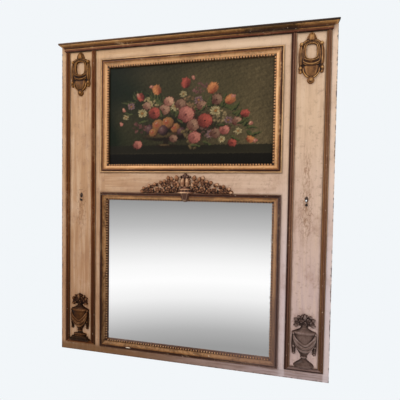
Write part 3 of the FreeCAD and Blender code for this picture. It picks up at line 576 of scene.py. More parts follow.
def ball(around, along):
    """A unit ball's mesh and its points as rows of x, y and z; made once for each fineness."""
    if (around, along) not in balls:
        bm = bmesh.new()
        bmesh.ops.create_uvsphere(bm, u_segments=around, v_segments=along, radius=1.0)
        mesh = bpy.data.meshes.new("ball_%d_%d" % (around, along))
        bm.to_mesh(mesh)
        bm.free()
        points = np.empty(len(mesh.vertices) * 3)
        mesh.vertices.foreach_get("co", points)
        balls[around, along] = mesh, points.reshape(-1, 3).T.copy()
    return balls[around, along]


def put(bm, mesh, x, y, z):
    """A reshaped ball joins the others."""
    mesh.vertices.foreach_set("co", np.column_stack([x, y, z]).ravel())
    bm.from_mesh(mesh)


def leaf_tip(bm, x, z, turn, front):
    """One domed tip whose round end points along turn (radians from +X), 10.8 mm wide."""
    mesh, (side, up, along) = ball(8, 5)
    out = along * np.where(along > 0, TIP_BACK, 0.0042)
    across = side * TIP_HALF * (1 - 0.4 * np.maximum(along, 0))
    put(bm, mesh, x + out * math.cos(turn) - across * math.sin(turn), front + up * TIP_RISE,
        z + out * math.sin(turn) + across * math.cos(turn))


def make_beading(name, middle, half, width, front, material):
    """The row of tips inside one frame."""
    bm = bmesh.new()
    in_x, in_z = half[0] - width, half[1] - width
    for level, run in ((True, in_x), (False, in_z)):
        count = int(round(2 * run / PITCH))
        step = 2 * run / count
        for number in range(count):
            at = -run + (number + 0.5) * step
            for sign in (-1, 1):
                if level:
                    leaf_tip(bm, at, middle + sign * (in_z + TIP_BACK), -sign * math.pi / 2, front)
                else:
                    leaf_tip(bm, sign * (in_x + TIP_BACK), middle + at, math.pi if sign > 0 else 0.0, front)
    settle(name, to_mesh(bm, name), material)


def tip_gilt(name, shades, dark):
    """Leaf on the beading, brown in patches where it was rubbed, with white flecks that are painted glints.
    """
    coat = Coat(name)
    fine = coat.noise(160, 4, 0.7)
    tone = mix(dark, ramp(fine * 0.4 + coat.noise(14, 5, 0.65) * 0.8, shades), UMBER)
    # white flecks: painted glints on a few tips
    tone = tinted(tone, coat.noise(38, 3, 0.6), 0.68, 0.71, 0.85, (238, 226, 208))
    return coat.shade(tone, fine.span(0.3, 0.7, 0.34, 0.56), fine, 0.0003, 0.4, Metallic=0.3)


make_beading("painting_beading", PAINTING_MIDDLE, PAINTING_HALF, PAINTING_WIDTH, -0.0512,
             tip_gilt("painting_tips", [(0.4, BROWN_GILT), (0.52, OLD_GOLD), (0.7, PEACH_GOLD)], 0.0))
make_beading("glass_beading", GLASS_MIDDLE, GLASS_HALF, GLASS_WIDTH, -0.0490,
             tip_gilt("glass_tips", [(0.38, BROWN_GILT), (0.52, OLD_GOLD), (0.7, (214, 164, 116))], 0.16))

# ---- the looking glass: old silvered plate on setting blocks in the rebate, clear in the middle
# It shows the air in front of it. Damp has left a faint bloom and dark specks at its edges.

GLASS_SIGHT = (0.4271, 0.37675)
glass = Coat("old_silvering")
depth = from_box(glass.x, glass.z, 0, GLASS_MIDDLE, *GLASS_SIGHT) * -1
bloom = depth.span(0.007, 0.0) * glass.noise(70, 4, 0.7).span(0.45, 0.7)
dress("mirror_glass", glass.shade(mix(bloom * 0.5, (254, 254, 254), (126, 114, 98)),
                                  bloom.span(0.0, 1.0, 0.012, 0.35), glass.noise(2.2, 2), 0.0006, 0.12,
                                  Metallic=1.0))

# ---- the carvings: lime wood in relief, gilt over bole, worn and dirty, glued to the board
# Each is built up from rounded straps, leaves and bosses, joined into one skin and then
# given a map of its hollows and edges, which the gilding uses for dirt in the hollows and
# painted highlights on the proud edges.

BOARD_FACE = -0.052


def along_path(stations, share):
    """Smooth values between stations at shares of the way, and the path's direction there."""
    rows = np.array(stations, float)
    rows = np.vstack([rows[:1], rows, rows[-1:]])
    at = np.clip(share * (len(stations) - 1), 0, len(stations) - 1 - 1e-6)
    index = at.astype(int)
    t = (at - index)[:, None]
    before, start, end, after = (rows[index + step] for step in range(4))
    bend = 2 * before - 5 * start + 4 * end - after
    twist = 3 * (start - end) + after - before
    value = start + 0.5 * t * (end - before + t * (bend + t * twist))
    slope = 0.5 * (end - before) + t * bend + 1.5 * t * t * twist
    return value.T, slope.T


def strap(bm, stations, lift=0.0, folds=0, depth=0.0, twist=0.0, lobes=0, notch=0.0, cup=0.0, blunt=6.0,
          around=18, along=26):
    """A carved strap or leaf through stations of (x, z, half width, relief), in millimetres.

    folds grooves of that depth run along it, turning with twist. lobes notches cut its edges,
    cup hollows it, blunt squares its ends and lift stands it off the board."""
    mesh, (east, north, up) = ball(around, along)
    share = 0.5 + np.arcsin(np.clip(up, -1, 1)) / math.pi
    turn = np.arctan2(north, east)
    ring = np.clip(1 - np.abs(2 * share - 1) ** blunt, 0, 1) ** 0.5
    (x, z, half, relief), slope = along_path(stations, share)
    run = np.maximum(np.hypot(slope[0], slope[1]), 1e-6)
    w = np.cos(turn) * ring
    height = np.maximum(0, np.sin(turn)) ** 0.6 * ring
    edge = 1 - notch * np.abs(np.sin(lobes * math.pi * share + 0.3)) ** 0.7 * np.abs(w)
    height *= 1 - depth * (0.5 - 0.5 * np.cos(folds * math.pi * (w + 1) + twist * share))
    height *= 1 - cup * (1 - np.minimum(1, np.abs(w) * 1.1) ** 2)
    put(bm, mesh, x - slope[1] / run * half * w * edge, -lift - relief * height,
        z + slope[0] / run * half * w * edge)


def boss(bm, x, z, radius, relief, groove=0.0):
    """A round boss in millimetres; groove sinks a ring round its middle button."""
    mesh, (east, north, up) = ball(20, 14)
    across = np.hypot(east, up)
    height = np.maximum(0, -north) * (1 - groove * np.exp(-((across - 0.55) / 0.15) ** 2))
    put(bm, mesh, x + radius * east, -relief * height, z + radius * up)


def turned(bm, stations, folds, depth, low, high, along=110, full=1.0):
    """The front half of a turned body from (height, half width, relief), in straight steps.

    Between low and high it is fluted with folds of that depth; full under 1 makes it boxier."""
    mesh, (east, north, up) = ball(36, along)
    heights, halves, reliefs = np.array(stations, float).T
    share = 0.5 + np.arcsin(np.clip(up, -1, 1)) / math.pi
    z = heights[0] + share * (heights[-1] - heights[0])
    turn = np.arctan2(north, east)
    open_ring = (share > 1e-4) & (share < 1 - 1e-4)
    fluted = (z > low) & (z < high)
    height = np.maximum(0, np.sin(turn)) ** full * (1 - depth * fluted * np.abs(np.sin(folds * turn)) ** 0.6)
    put(bm, mesh, open_ring * np.interp(z, heights, halves) * np.cos(turn),
        open_ring * np.interp(z, heights, reliefs) * -height, z)


def rose(bm, x, z, radius, relief, turn):
    """A carved rose: four broad petals folded over each other round a bud."""
    boss(bm, x, z, radius * 0.88, relief * 0.5)
    mesh, (out, north, side) = ball(12, 8)
    rim = np.maximum(0, out) ** 2 + 0.35 * side * side
    for count, reach, size, top in ((4, 0.54, 0.58, 0.8), (1, 0.0, 0.34, 0.95)):
        height = relief * (top * 0.7 + 0.3 * top * rim) * np.maximum(0, -north) ** 0.5
        for number in range(count):
            angle = turn + top * 5 + number * 2 * math.pi / count
            out_x, out_z = math.cos(angle), math.sin(angle)
            put(bm, mesh, x + radius * (reach * out_x + size * (out * 0.8 * out_x - side * out_z)),
                -height * (0.76 + 0.12 * (number % 3)),
                z + radius * (reach * out_z + size * (out * 0.8 * out_z + side * out_x)))


def leaf(bm, root, tip, half, relief, bend, lift, notch):
    """A carved leaf from root to tip, bent sideways, with two notches in its edge."""
    run_x, run_z = tip[0] - root[0], tip[1] - root[1]
    rows = []
    for share, width, rise in ((0, 0.25, 0.6), (0.25, 0.8, 0.85), (0.5, 1.0, 1.0), (0.78, 0.62, 0.9),
                               (1, 0.1, 0.45)):
        swing = bend * math.sin(math.pi * share)
        rows.append((root[0] + run_x * share - run_z * swing, root[1] + run_z * share + run_x * swing,
                     half * width, relief * rise))
    strap(bm, rows, lift=lift, lobes=2, notch=notch, blunt=8.0, around=14, along=22)


def carving_gilt(name, tones, dark_ends=None, darkening=0.7, shine=0.35):
    """Gilding on carved work: five tones from the dirty hollows to a painted highlight on the proudest edges.

    dark_ends are two heights, below and above which the carving darkens by the share darkening, and
    shine is how much the gilding reflects."""
    coat = Coat(name)
    fine = coat.noise(190, 5, 0.7)
    relief = coat.drawn("height_map") + (coat.noise(26, 5, 0.65) * 0.5 - 0.25) + (fine * 0.24 - 0.12)
    tone = ramp(relief, list(zip((0.26, 0.42, 0.55, 0.72, 0.92), tones)))
    if dark_ends:
        low, high = dark_ends
        ends = larger(coat.z.span(low + 0.003, low - 0.003), coat.z.span(high - 0.004, high + 0.004))
        tone = mix(ends * darkening, tone, (50, 26, 19))
    return coat.shade(tone, fine.span(0.3, 0.7, 0.36, 0.6), fine, 0.0005, Metallic=0.24,
                      Specular_IOR_Level=shine)


# the skin's grain, the steps of smoothing that find a hollow, and the depth that is all dirt
VOXEL, HOLLOW_REACH, HOLLOW_DEPTH = 0.0011, 14, 0.0032


def read(source, key, width, kind=float):
    """One property of all of a mesh's items, as rows."""
    rows = np.empty(len(source) * width, kind)
    source.foreach_get(key, rows)
    return rows.reshape(-1, width)


def carved(name, bm, place_x, place_z, material):
    """The built-up shapes become one closed skin with a map of its hollows, set on the board.

    The shapes are in millimetres from (place_x, place_z), with the board's face at y = 0."""
    bmesh.ops.scale(bm, vec=(0.001, 0.001, 0.001), verts=bm.verts)
    bmesh.ops.translate(bm, vec=(place_x, BOARD_FACE, place_z), verts=bm.verts)
    rough_cut = bpy.data.objects.new(name + "_rough", to_mesh(bm, name))
    bpy.context.scene.collection.objects.link(rough_cut)
    skin = rough_cut.modifiers.new("skin", "REMESH")
    skin.mode = "VOXEL"
    skin.voxel_size = VOXEL
    sanded = rough_cut.modifiers.new("sanded", "SMOOTH")
    sanded.iterations = 2
    sanded.factor = 0.5
    whole = bpy.data.meshes.new_from_object(rough_cut.evaluated_get(bpy.context.evaluated_depsgraph_get()))
    whole.name = name
    bpy.data.objects.remove(rough_cut)
    co = read(whole.vertices, "co", 3)
    co[:, 1] = np.minimum(co[:, 1], BOARD_FACE + 0.0003)
    whole.vertices.foreach_set("co", co.ravel())
    whole.update()
    normal = read(whole.vertices, "normal", 3)
    first, second = read(whole.edges, "vertices", 2, int).T
    count = len(co)
    degree = np.bincount(first, minlength=count) + np.bincount(second, minlength=count)
    # a hollow lies below the mean of the surface round it and turns dark with dirt;
    # a proud edge lies above it and turns bright: a painted highlight
    mean = co
    for _ in range(HOLLOW_REACH):
        mean = np.stack([(np.bincount(first, row[second], count) + np.bincount(second, row[first], count))
                         / degree for row in mean.T], 1)
    value = 0.5 - ((mean - co) * normal).sum(1) / HOLLOW_DEPTH
    # shallow parts near the board are painted darker than proud ones
    value += np.clip((BOARD_FACE - co[:, 1]) / 0.02, 0, 1) * 0.34 - 0.2
    layer = whole.attributes.new("height_map", "FLOAT", "POINT")
    layer.data.foreach_set("value", np.clip(value, 0, 1).astype(np.float32))
    settle(name, whole, material, [name])


# ---- the two cartouches at the top of the pilasters
# Carved lime, gilt and glued to the field: a palmette over an oval opening, scrolls and bosses
# at its shoulders, side straps with tassels, two swags, a fluted shield and a boss at the foot.


def both_sides(bm, stations, **sizes):
    """The same strap on the right and mirrored on the left."""
    strap(bm, stations, **sizes)
    strap(bm, [(-x, *rest) for x, *rest in stations], **sizes)


CARTOUCHE_TOP = 1.6165


def make_cartouche(name, side, material):
    """One cartouche, measured down from the cornice."""
    bm = bmesh.new()
    centre, opening, tall, squareness = -87.0, 24.5, 33.0, 3.2
    # palmette: a broad bell with a tongue on it and a curled foot
    strap(bm, [(0, 0, 4, 5), (0, -9, 13, 11), (0, -22, 20, 14), (0, -34, 23, 14), (0, -46, 20, 12)],
          folds=3, depth=0.2)
    strap(bm, [(0, -10, 5, 14), (0, -22, 10, 18), (0, -34, 12, 18), (0, -42, 9, 14)], cup=0.18)
    # ring round the opening: two beads with a hollow between them
    for out, size, rise in ((2.4, 3.3, 12), (8.4, 3.6, 11), (5.4, 5.0, 7)):
        ring = []
        for number in range(17):
            angle = math.pi * (0.5 + number / 8)
            right, up = math.cos(angle), math.sin(angle)
            reach = (abs(right) ** squareness + abs(up) ** squareness) ** (-1 / squareness)
            ring.append(((opening + out) * reach * right, centre + (tall + out) * reach * up, size, rise))
        for first in (0, 8):
            strap(bm, ring[first:first + 9], blunt=40.0, around=14, along=50)
    # shoulders, scrolls and their bosses
    both_sides(bm, [(8, -40, 6, 12), (22, -43, 8, 13), (34, -51, 8, 12), (42, -58, 5, 8)], folds=2,
               depth=0.22)
    for sign in (-1, 1):
        boss(bm, sign * 43, -54, 10.5, 14, groove=0.15)
    # side straps with tassels
    both_sides(bm, [(44, -58, 9, 10), (46.5, -92, 10, 13), (46, -126, 10.5, 13), (46, -152, 8, 10)],
               folds=2, depth=0.28)
    both_sides(bm, [(37, -66, 5, 9), (38, -95, 6, 11), (37, -122, 6, 10), (33, -136, 5, 8)])
    both_sides(bm, [(47, -146, 7, 9), (47, -164, 9.5, 12), (47, -178, 8, 10), (46, -187, 4, 5)], folds=2,
               depth=0.25)
    for sign in (-1, 1):
        boss(bm, sign * 47, -163, 9, 14)
        boss(bm, sign * 46, -179, 7, 11)
    # swags under the opening, then the shield and its boss
    for drop, half, rise in ((129, 8, 14), (146, 8.5, 15)):
        strap(bm, [(-44, 26 - drop, 4, 8), (-28, 8 - drop, half, rise - 2), (0, -drop, half, rise),
                   (28, 8 - drop, half, rise - 2), (44, 26 - drop, 4, 8)], folds=2, depth=0.25, along=40)
    strap(bm, [(0, -148, 34, 9), (0, -160, 37, 14), (0, -176, 35, 15), (0, -192, 27, 13), (0, -206, 12, 8)],
          folds=5, depth=0.22, blunt=10)
    both_sides(bm, [(36, -158, 4, 10), (33, -180, 4, 12), (23, -196, 4, 12), (7, -207, 4, 10)])
    boss(bm, 0, -217, 17, 15, groove=0.22)
    # the thin ground that ties it together
    both_sides(bm, [(33, -60, 14, 4), (36, -100, 13, 4), (33, -140, 16, 4), (20, -165, 16, 4)])
    carved(name, bm, side * PILASTER_X, CARTOUCHE_TOP, material)


make_cartouche("cartouche_left", -1, carving_gilt(
    "cartouche_gilt_left", ((28, 15, 8), (62, 35, 16), (112, 72, 32), (150, 102, 52), (204, 152, 88)),
    shine=0.15))
make_cartouche("cartouche_right", 1, carving_gilt(
    "cartouche_gilt_right", ((34, 19, 10), (76, 45, 24), (136, 92, 52), (176, 128, 76), (226, 180, 116)),
    shine=0.22))

# ---- the two urns at the foot of the pilasters
# Half of a turned lime urn, gilt and glued to the field, draped with a swag and two hanging
# ends, with roses and leaves on its lid. The left one stands on a stepped plinth of its own.


URN_FOOT = 0.0593
URN_DARK_ENDS = (0.055, URN_FOOT + 0.204)


def make_urn(name, side, material, foot, wide):
    """One urn, measured up from the pilaster's base moulding; wide stretches it sideways."""
    bm = bmesh.new()
    body = foot + [(48, 12, 10), (50, 17, 13), (55, 17, 13), (57, 13.5, 11), (60, 16, 12), (78, 28, 17),
                   (100, 38, 20), (124, 46, 21), (146, 50, 22), (162, 51, 22), (165, 56, 23), (171, 56, 23),
                   (174, 52, 21), (177, 44, 19), (181, 34, 17), (186, 24, 15), (192, 17, 14), (199, 14, 12),
                   (206, 14, 12)]
    turned(bm, body, 7, 0.16, 60, 100)
    # the swag: a deep U of three folds from the rim's two ends
    for drop, half, rise in ((17, 8, 18), (2, 9, 21), (-13, 8, 20)):
        strap(bm, [(-50, 166, 5, 10), (-44, 138 - drop * 0.3, half, rise), (-24, 112 - drop, half, rise + 1),
                   (4, 100 - drop, half, rise + 2), (30, 116 - drop, half, rise + 1),
                   (46, 142 - drop * 0.4, half, rise), (50, 166, 5, 10)], lift=3, folds=1, depth=0.12,
              along=54)
    # its gathered ends, each in two lengths with a knot at the foot
    both_sides(bm, [(50, 170, 5, 11), (51, 146, 7, 12), (50, 118, 9, 13), (48, 92, 10, 12),
                           (47, 72, 8, 10), (46, 58, 4, 5)], folds=2, depth=0.45, twist=1.2)
    both_sides(bm, [(43, 150, 5, 17), (41, 130, 6, 18), (39, 106, 6, 15), (41, 90, 4, 9)])
    for sign in (-1, 1):
        boss(bm, sign * 50, 165, 8, 15)
        boss(bm, sign * 48, 104, 9, 14)
        boss(bm, sign * 47, 70, 9, 12)
    # the bunch on the lid: a solid ground, broad leaves with their tips outwards, and roses
    strap(bm, [(0, 196, 16, 7), (0, 205, 38, 7), (0, 219, 38, 7), (0, 235, 28, 6), (0, 248, 12, 5)], blunt=12)
    for root, tip, half, bend in (((26, 208), (53, 202), 10, -0.1), ((30, 224), (50, 233), 10, 0.0),
                                  ((22, 236), (32, 248), 8, 0.0), ((8, 238), (12, 254), 8, 0.0)):
        leaf(bm, root, tip, half, 13, bend, 1, 0.15)
        leaf(bm, (-root[0], root[1]), (-tip[0], tip[1]), half, 13, -bend, 1, 0.15)
    leaf(bm, (0, 226), (0, 260), 11, 19, 0.0, 2, 0.15)
    for x, z, radius, rise, turn in ((0, 212, 11, 23, 0.2), (15, 226, 12, 23, 0.9), (35, 214, 13, 21, 1.7),
                                     (21, 237, 10, 20, 0.4)):
        rose(bm, x, z, radius, rise, turn)
        if x:
            rose(bm, -x, z, radius, rise, -turn)
    bmesh.ops.scale(bm, vec=(wide, 1, 1), verts=bm.verts)
    carved(name, bm, side * PILASTER_X, URN_FOOT, material)


make_urn("urn_left", -1, carving_gilt(
    "urn_gilt_left", ((15, 8, 3), (28, 14, 5), (50, 26, 10), (88, 52, 24), (158, 114, 78)),
    URN_DARK_ENDS, 0.35, 0.08),
         [(20.7, 0, 10), (20.8, 42, 15), (36, 42, 16), (37, 30, 15), (40, 20, 12), (44, 14, 10)], 0.93)
make_urn("urn_right", 1, carving_gilt(
    "urn_gilt_right", ((26, 16, 13), (48, 31, 25), (84, 61, 51), (120, 96, 87), (166, 146, 138)),
    URN_DARK_ENDS, 0.35),
         [(0.3, 0, 8), (0.5, 37, 12), (3, 43, 16), (7, 47, 18), (12, 48, 19), (17, 46, 18), (22, 41, 17),
          (27, 34, 16), (32, 26, 14), (38, 18, 12), (43, 14, 11)], 0.98)
plinth = Coat("plinth_gilt")
rub = plinth.noise(60, 6, 0.7)
dress("urn_plinth_left",
      plinth.shade(ramp(rub, [(0.35, (30, 18, 12)), (0.55, (52, 33, 20)), (0.75, (96, 64, 40))]),
                   rub.span(0.3, 0.7, 0.4, 0.62), rub, 0.0006, Metallic=0.2, Specular_IOR_Level=0.1))

# ---- the crest over the looking glass
# Carved lime in three pieces, gilt and glued to the rail: a shell and a lotus bud on a bracket
# with a drop, and on each side a spray of roses and leaves that falls away to a point.


CREST_FOOT = 0.8707


def make_crest_centre(material):
    """The middle piece, measured up from the moulding's top edge."""
    bm = bmesh.new()
    for number in range(5):
        angle = math.pi * (0.5 + (number - 2) * 0.17)
        reach = 44 - 2.5 * abs(number - 2)
        end_x, end_z = math.cos(angle) * reach * 0.66, 58 + math.sin(angle) * reach
        strap(bm, [(0, 54, 4, 8), (end_x * 0.55, 58 + (end_z - 58) * 0.55, 6.5, 15), (end_x, end_z, 8, 12)],
              blunt=5)
    for sign in (-1, 1):
        strap(bm, [(sign * 3, 30, 6, 16), (sign * 11, 42, 11, 24), (sign * 12, 60, 12, 27),
                   (sign * 8, 74, 8, 20), (sign * 3, 80, 3, 12)])
        leaf(bm, (sign * 6, 34), (sign * 29, 68), 11, 18, 0.15 * sign, 2, 0.2)
        leaf(bm, (sign * 5, 31), (sign * 30, 42), 9, 16, 0.1 * sign, 2, 0.2)
        boss(bm, sign * 24, 84, 6, 13)
    turned(bm, [(0, 0, 15), (0.2, 42, 20), (5, 43, 22), (7, 38, 20), (16, 33, 19), (19, 36, 21), (23, 34, 20),
                (26, 27, 17), (34, 22, 16), (36, 0, 14)], 6, 0.12, 7, 19, along=60)
    turned(bm, [(-43, 0, 12), (-41, 8, 16), (-36, 13, 20), (-32, 13, 20), (-30, 17, 21), (-18, 21, 22),
                (-6, 27, 24), (2, 31, 24), (8, 31, 22)], 3, 0.16, -31, 2, along=60, full=0.45)
    carved("crest_centre", bm, 0, CREST_FOOT, material)


def make_crest_spray(name, side, material):
    """One spray, measured from the middle and up from the moulding's top edge."""
    bm = bmesh.new()
    # a thin ground of stems along the moulding
    strap(bm, [(32, 20, 19, 5), (80, 18, 17, 6), (140, 13, 12, 5), (200, 8, 7, 5), (240, 4, 3, 3)], folds=3,
          depth=0.3, along=60)
    roses = ((56, 17, 15, 17, 0.3), (87, 20, 17, 21, 1.1), (120, 15, 13, 17, 2.4), (147, 18, 16, 20, 0.6),
             (180, 14, 13, 16, 1.5), (208, 17, 15, 17, 0.1), (54, 50, 18, 22, 2.0), (88, 55, 14, 20, 0.9),
             (117, 43, 15, 21, 1.8), (150, 42, 10, 16, 0.5), (176, 34, 11, 16, 2.2), (233, 10, 9, 11, 0.5))
    for x, z, radius, rise, turn in roses:
        rose(bm, x, z, radius, rise, turn)
    # small leaves fill the gaps, much lower than the roses
    draw = np.random.default_rng(5)
    outline_x = (40, 54, 70, 91, 108, 126, 144, 168, 190, 205, 226, 242)
    outline_z = (60, 80, 72, 76, 62, 57, 50, 45, 39, 34, 24, 6)
    for z in (8, 24, 40, 56):
        x = 43.0
        while x < 236:
            at_x, at_z = x + draw.uniform(-3, 3), z + draw.uniform(-3, 3)
            rise, turn = draw.uniform(7, 9) * (1 - 0.2 * x / 240), draw.uniform(0, math.pi)
            clear = min(math.hypot(at_x - row[0], at_z - row[1]) - row[2] for row in roses)
            if at_z + 4 < np.interp(at_x, outline_x, outline_z) and clear > 0:
                step_x, step_z = 12 * math.cos(turn), 12 * math.sin(turn)
                strap(bm, [(at_x - step_x, at_z - step_z, 3, rise * 0.5), (at_x, at_z, 8, rise),
                           (at_x + step_x, at_z + step_z, 2, rise * 0.6)], around=12, along=12)
            x += draw.uniform(16, 22)
    for root, tip, half, bend in (((46, 62), (51, 92), 13, 0.1), ((64, 60), (74, 86), 11, -0.1),
                                  ((90, 62), (93, 90), 12, 0.1), ((102, 50), (111, 71), 12, -0.1),
                                  ((128, 42), (136, 64), 12, 0.1), ((160, 34), (166, 54), 12, 0.1),
                                  ((186, 26), (194, 47), 11, -0.1), ((220, 14), (226, 33), 10, 0.1),
                                  ((216, 8), (241, 7), 9, 0.0)):
        leaf(bm, root, tip, half, 13, bend, 1, 0.1)
    leaf(bm, (42, 26), (35, 58), 10, 14, 0.05, 1, 0.2)
    if side < 0:
        bmesh.ops.scale(bm, vec=(-1, 1, 1), verts=bm.verts)
    carved(name, bm, 0, CREST_FOOT, material)


crest_gilt = carving_gilt(
    "crest_gilt", ((22, 11, 7), (50, 26, 16), (104, 64, 40), (156, 106, 72), (240, 206, 170)), shine=0.25)
make_crest_centre(carving_gilt(
    "crest_centre_gilt", ((30, 16, 11), (62, 34, 24), (104, 64, 42), (152, 104, 74), (224, 184, 144)),
    (CREST_FOOT, CREST_FOOT + 0.075)))
make_crest_spray("crest_spray_left", -1, crest_gilt)
make_crest_spray("crest_spray_right", 1, crest_gilt)

# ---- the painting: oil on linen, turned over its stretcher and tacked
# A generic still life of fruit, tulips and daisies on a dark green ground, over a stone ledge.
# It is painted in strokes on the cloth's own colour layer, then given weave and varnish.

CLOTH_HALF, CLOTH_LOW, CLOTH_HIGH = 0.4396, 1.0015, 1.541
CLOTH_FRONT, CLOTH_BACK = -0.042, -0.026
# the part in sight: where its foot is, in metres, and half its width and height in millimetres
SIGHT_FOOT, SIGHT_HALF_X, SIGHT_HALF_Z = 1.0199, 426, 252
COLUMNS, ROWS = 276, 170


def ripple(x, z, seed, scale):
    """Smooth pseudo-random waves from -1 to 1 in millimetres, the same each run."""
    draw = np.random.default_rng(seed)
    total = np.zeros_like(x)
    for _ in range(7):
        angle, phase = draw.uniform(0, 2 * math.pi, 2)
        pitch = draw.uniform(0.7, 1.5) / scale
        total += np.sin(2 * math.pi * pitch * (x * math.cos(angle) + z * math.sin(angle)) + phase)
    return total / 3.5


def tone(red, green, blue):
    """A paint colour as numbers."""
    return np.array(colour(red, green, blue)[:3])


class Picture:
    """The painted surface: x from -426 to 426 mm, z from 0 at the sight's foot."""

    def __init__(self, x, z):
        self.x, self.z = x, z
        self.rgb = np.zeros(x.shape + (3,))
        self.rough = ripple(x, z, 3, 9) * 0.6 + ripple(x, z, 4, 23) * 0.5

    def lay(self, mask, paint):
        """Paint laid on through a mask of 0 to 1; paint is one colour or one per point."""
        mask = np.clip(mask, 0, 1)[..., None]
        self.rgb = self.rgb * (1 - mask) + mask * paint

    def local(self, x, z, turn):
        """Coordinates turned about a point."""
        across, up = self.x - x, self.z - z
        return (across * math.cos(turn) + up * math.sin(turn), -across * math.sin(turn) + up * math.cos(turn))

    def dab(self, x, z, half_x, half_z, turn, paint, soft=0.25, ragged=0.12, share=1.0):
        """One soft oval stroke."""
        across, up = self.local(x, z, turn)
        far = np.hypot(across / half_x, up / half_z) + self.rough * ragged
        self.lay(np.clip((1 - far) / soft + 0.5, 0, 1) * share, paint)

    def blade(self, along, side, length, width, lit, light, dark):
        """A petal or leaf of that width, from dark to light by lit; gives its mask."""
        mask = np.clip((1 - np.abs(side) / width) * 3, 0, 1) * ((along > 0) & (along < length))
        lit = np.clip(lit, 0, 1)[..., None]
        self.lay(mask, dark * (1 - lit) + light * lit)
        return mask

    def petal(self, x, z, length, half, turn, light, dark):
        """A pointed petal from its root, light along one edge."""
        along, side = self.local(x, z, turn)
        share = np.clip(along / length, 0, 1)
        width = half * np.sin(math.pi * share ** 0.75) ** 0.8 + 0.01
        lit = 0.5 + side / width * 0.45 + (share - 0.5) * 0.5 + self.rough * 0.15
        self.blade(along, side, length, width, lit, light, dark)

    def leaf(self, x, z, length, half, turn, light, dark, bend):
        """A leaf with a pale vein, bent along its length."""
        along, side = self.local(x, z, turn)
        share = np.clip(along / length, 0, 1)
        side = side - bend * length * np.sin(math.pi * share)
        width = half * np.sin(math.pi * share ** 0.7) ** 0.9 * (1 + 0.12 * self.rough) + 0.01
        lit = 0.45 + 0.55 * np.tanh(side / 1.6) * 0.7 + self.rough * 0.2
        mask = self.blade(along, side, length, width, lit, light, dark)
        self.lay(mask * np.exp(-(side / 0.9) ** 2) * 0.5, light * 1.25)

    def fruit(self, x, z, radius, base, blush, shadow, flat):
        """A round fruit lit from the upper left."""
        across, up = (self.x - x) / radius, (self.z - z) / (radius * flat)
        far = np.hypot(across, up)
        mask = np.clip((1 - far) * 8 + 0.5, 0, 1)
        lit = 0.62 - 0.42 * across * 0.7 + 0.42 * up * 0.8 - 0.35 * far ** 3 + self.rough * 0.06
        cheek = np.exp(-((across + 0.3) ** 2 + (up - 0.15) ** 2) / 0.3)[..., None]
        skin = base * (1 - cheek) + blush * cheek
        lit = np.clip(lit, 0, 1)[..., None]
        self.lay(mask, shadow * (1 - lit) + skin * lit)
        self.dab(x - radius * 0.36, z + radius * 0.4, radius * 0.16, radius * 0.12, 0.6,
                 skin.max() * np.ones(3), share=0.35)


def daisy(picture, x, z, radius, light, dark, heart, draw):
    """An open flower of narrow petals round a button, seen a little from below."""
    count, tilt = 13, 0.8
    for number in range(count):
        turn = number * 2 * math.pi / count + draw.uniform(-0.12, 0.12)
        length = radius * (tilt + (1 - tilt) * abs(math.cos(turn))) * draw.uniform(0.88, 1.08)
        fade = draw.uniform(0.7, 1.05)
        picture.petal(x, z, length, radius * 0.2, turn, light * fade, dark * fade)
    picture.dab(x, z, radius * 0.25, radius * 0.22, 0, heart, ragged=0.2)
    picture.dab(x - radius * 0.06, z + radius * 0.07, radius * 0.1, radius * 0.08, 0, heart * 1.6)


def tulip(picture, x, z, size, turn, light, dark):
    """A closed flower of overlapping petals, opening along turn."""
    for off, fade, half in ((-0.38, 0.75, 0.30), (0.38, 0.85, 0.30), (-0.18, 0.95, 0.28), (0.2, 1.05, 0.28),
                            (0.0, 1.12, 0.26)):
        picture.petal(x, z, size * (1.0 - abs(off) * 0.2), size * half, turn + off, light * fade, dark * fade)


def full_flower(picture, x, z, radius, light, dark, draw):
    """A many-petalled round flower, drawn as rings of curved strokes."""
    picture.dab(x, z, radius, radius * 0.9, 0.2, dark, soft=0.2, ragged=0.22)
    for ring, count in ((0.78, 9), (0.56, 8), (0.36, 6), (0.17, 4)):
        start = draw.uniform(0, 6.28)
        for number in range(count):
            turn = start + number * 2 * math.pi / count
            lit = np.clip(0.62 + 0.4 * math.sin(turn + 0.8) + draw.uniform(-0.12, 0.12), 0.1, 1.1)
            paint = dark * (1 - lit) + light * lit
            picture.dab(x + ring * radius * math.cos(turn), z + ring * radius * 0.88 * math.sin(turn),
                        radius * 0.13 + 1, radius * 0.3, turn, paint, soft=0.4, ragged=0.15, share=0.9)
    picture.dab(x, z - radius * 0.05, radius * 0.1, radius * 0.09, 0, dark * 0.5)


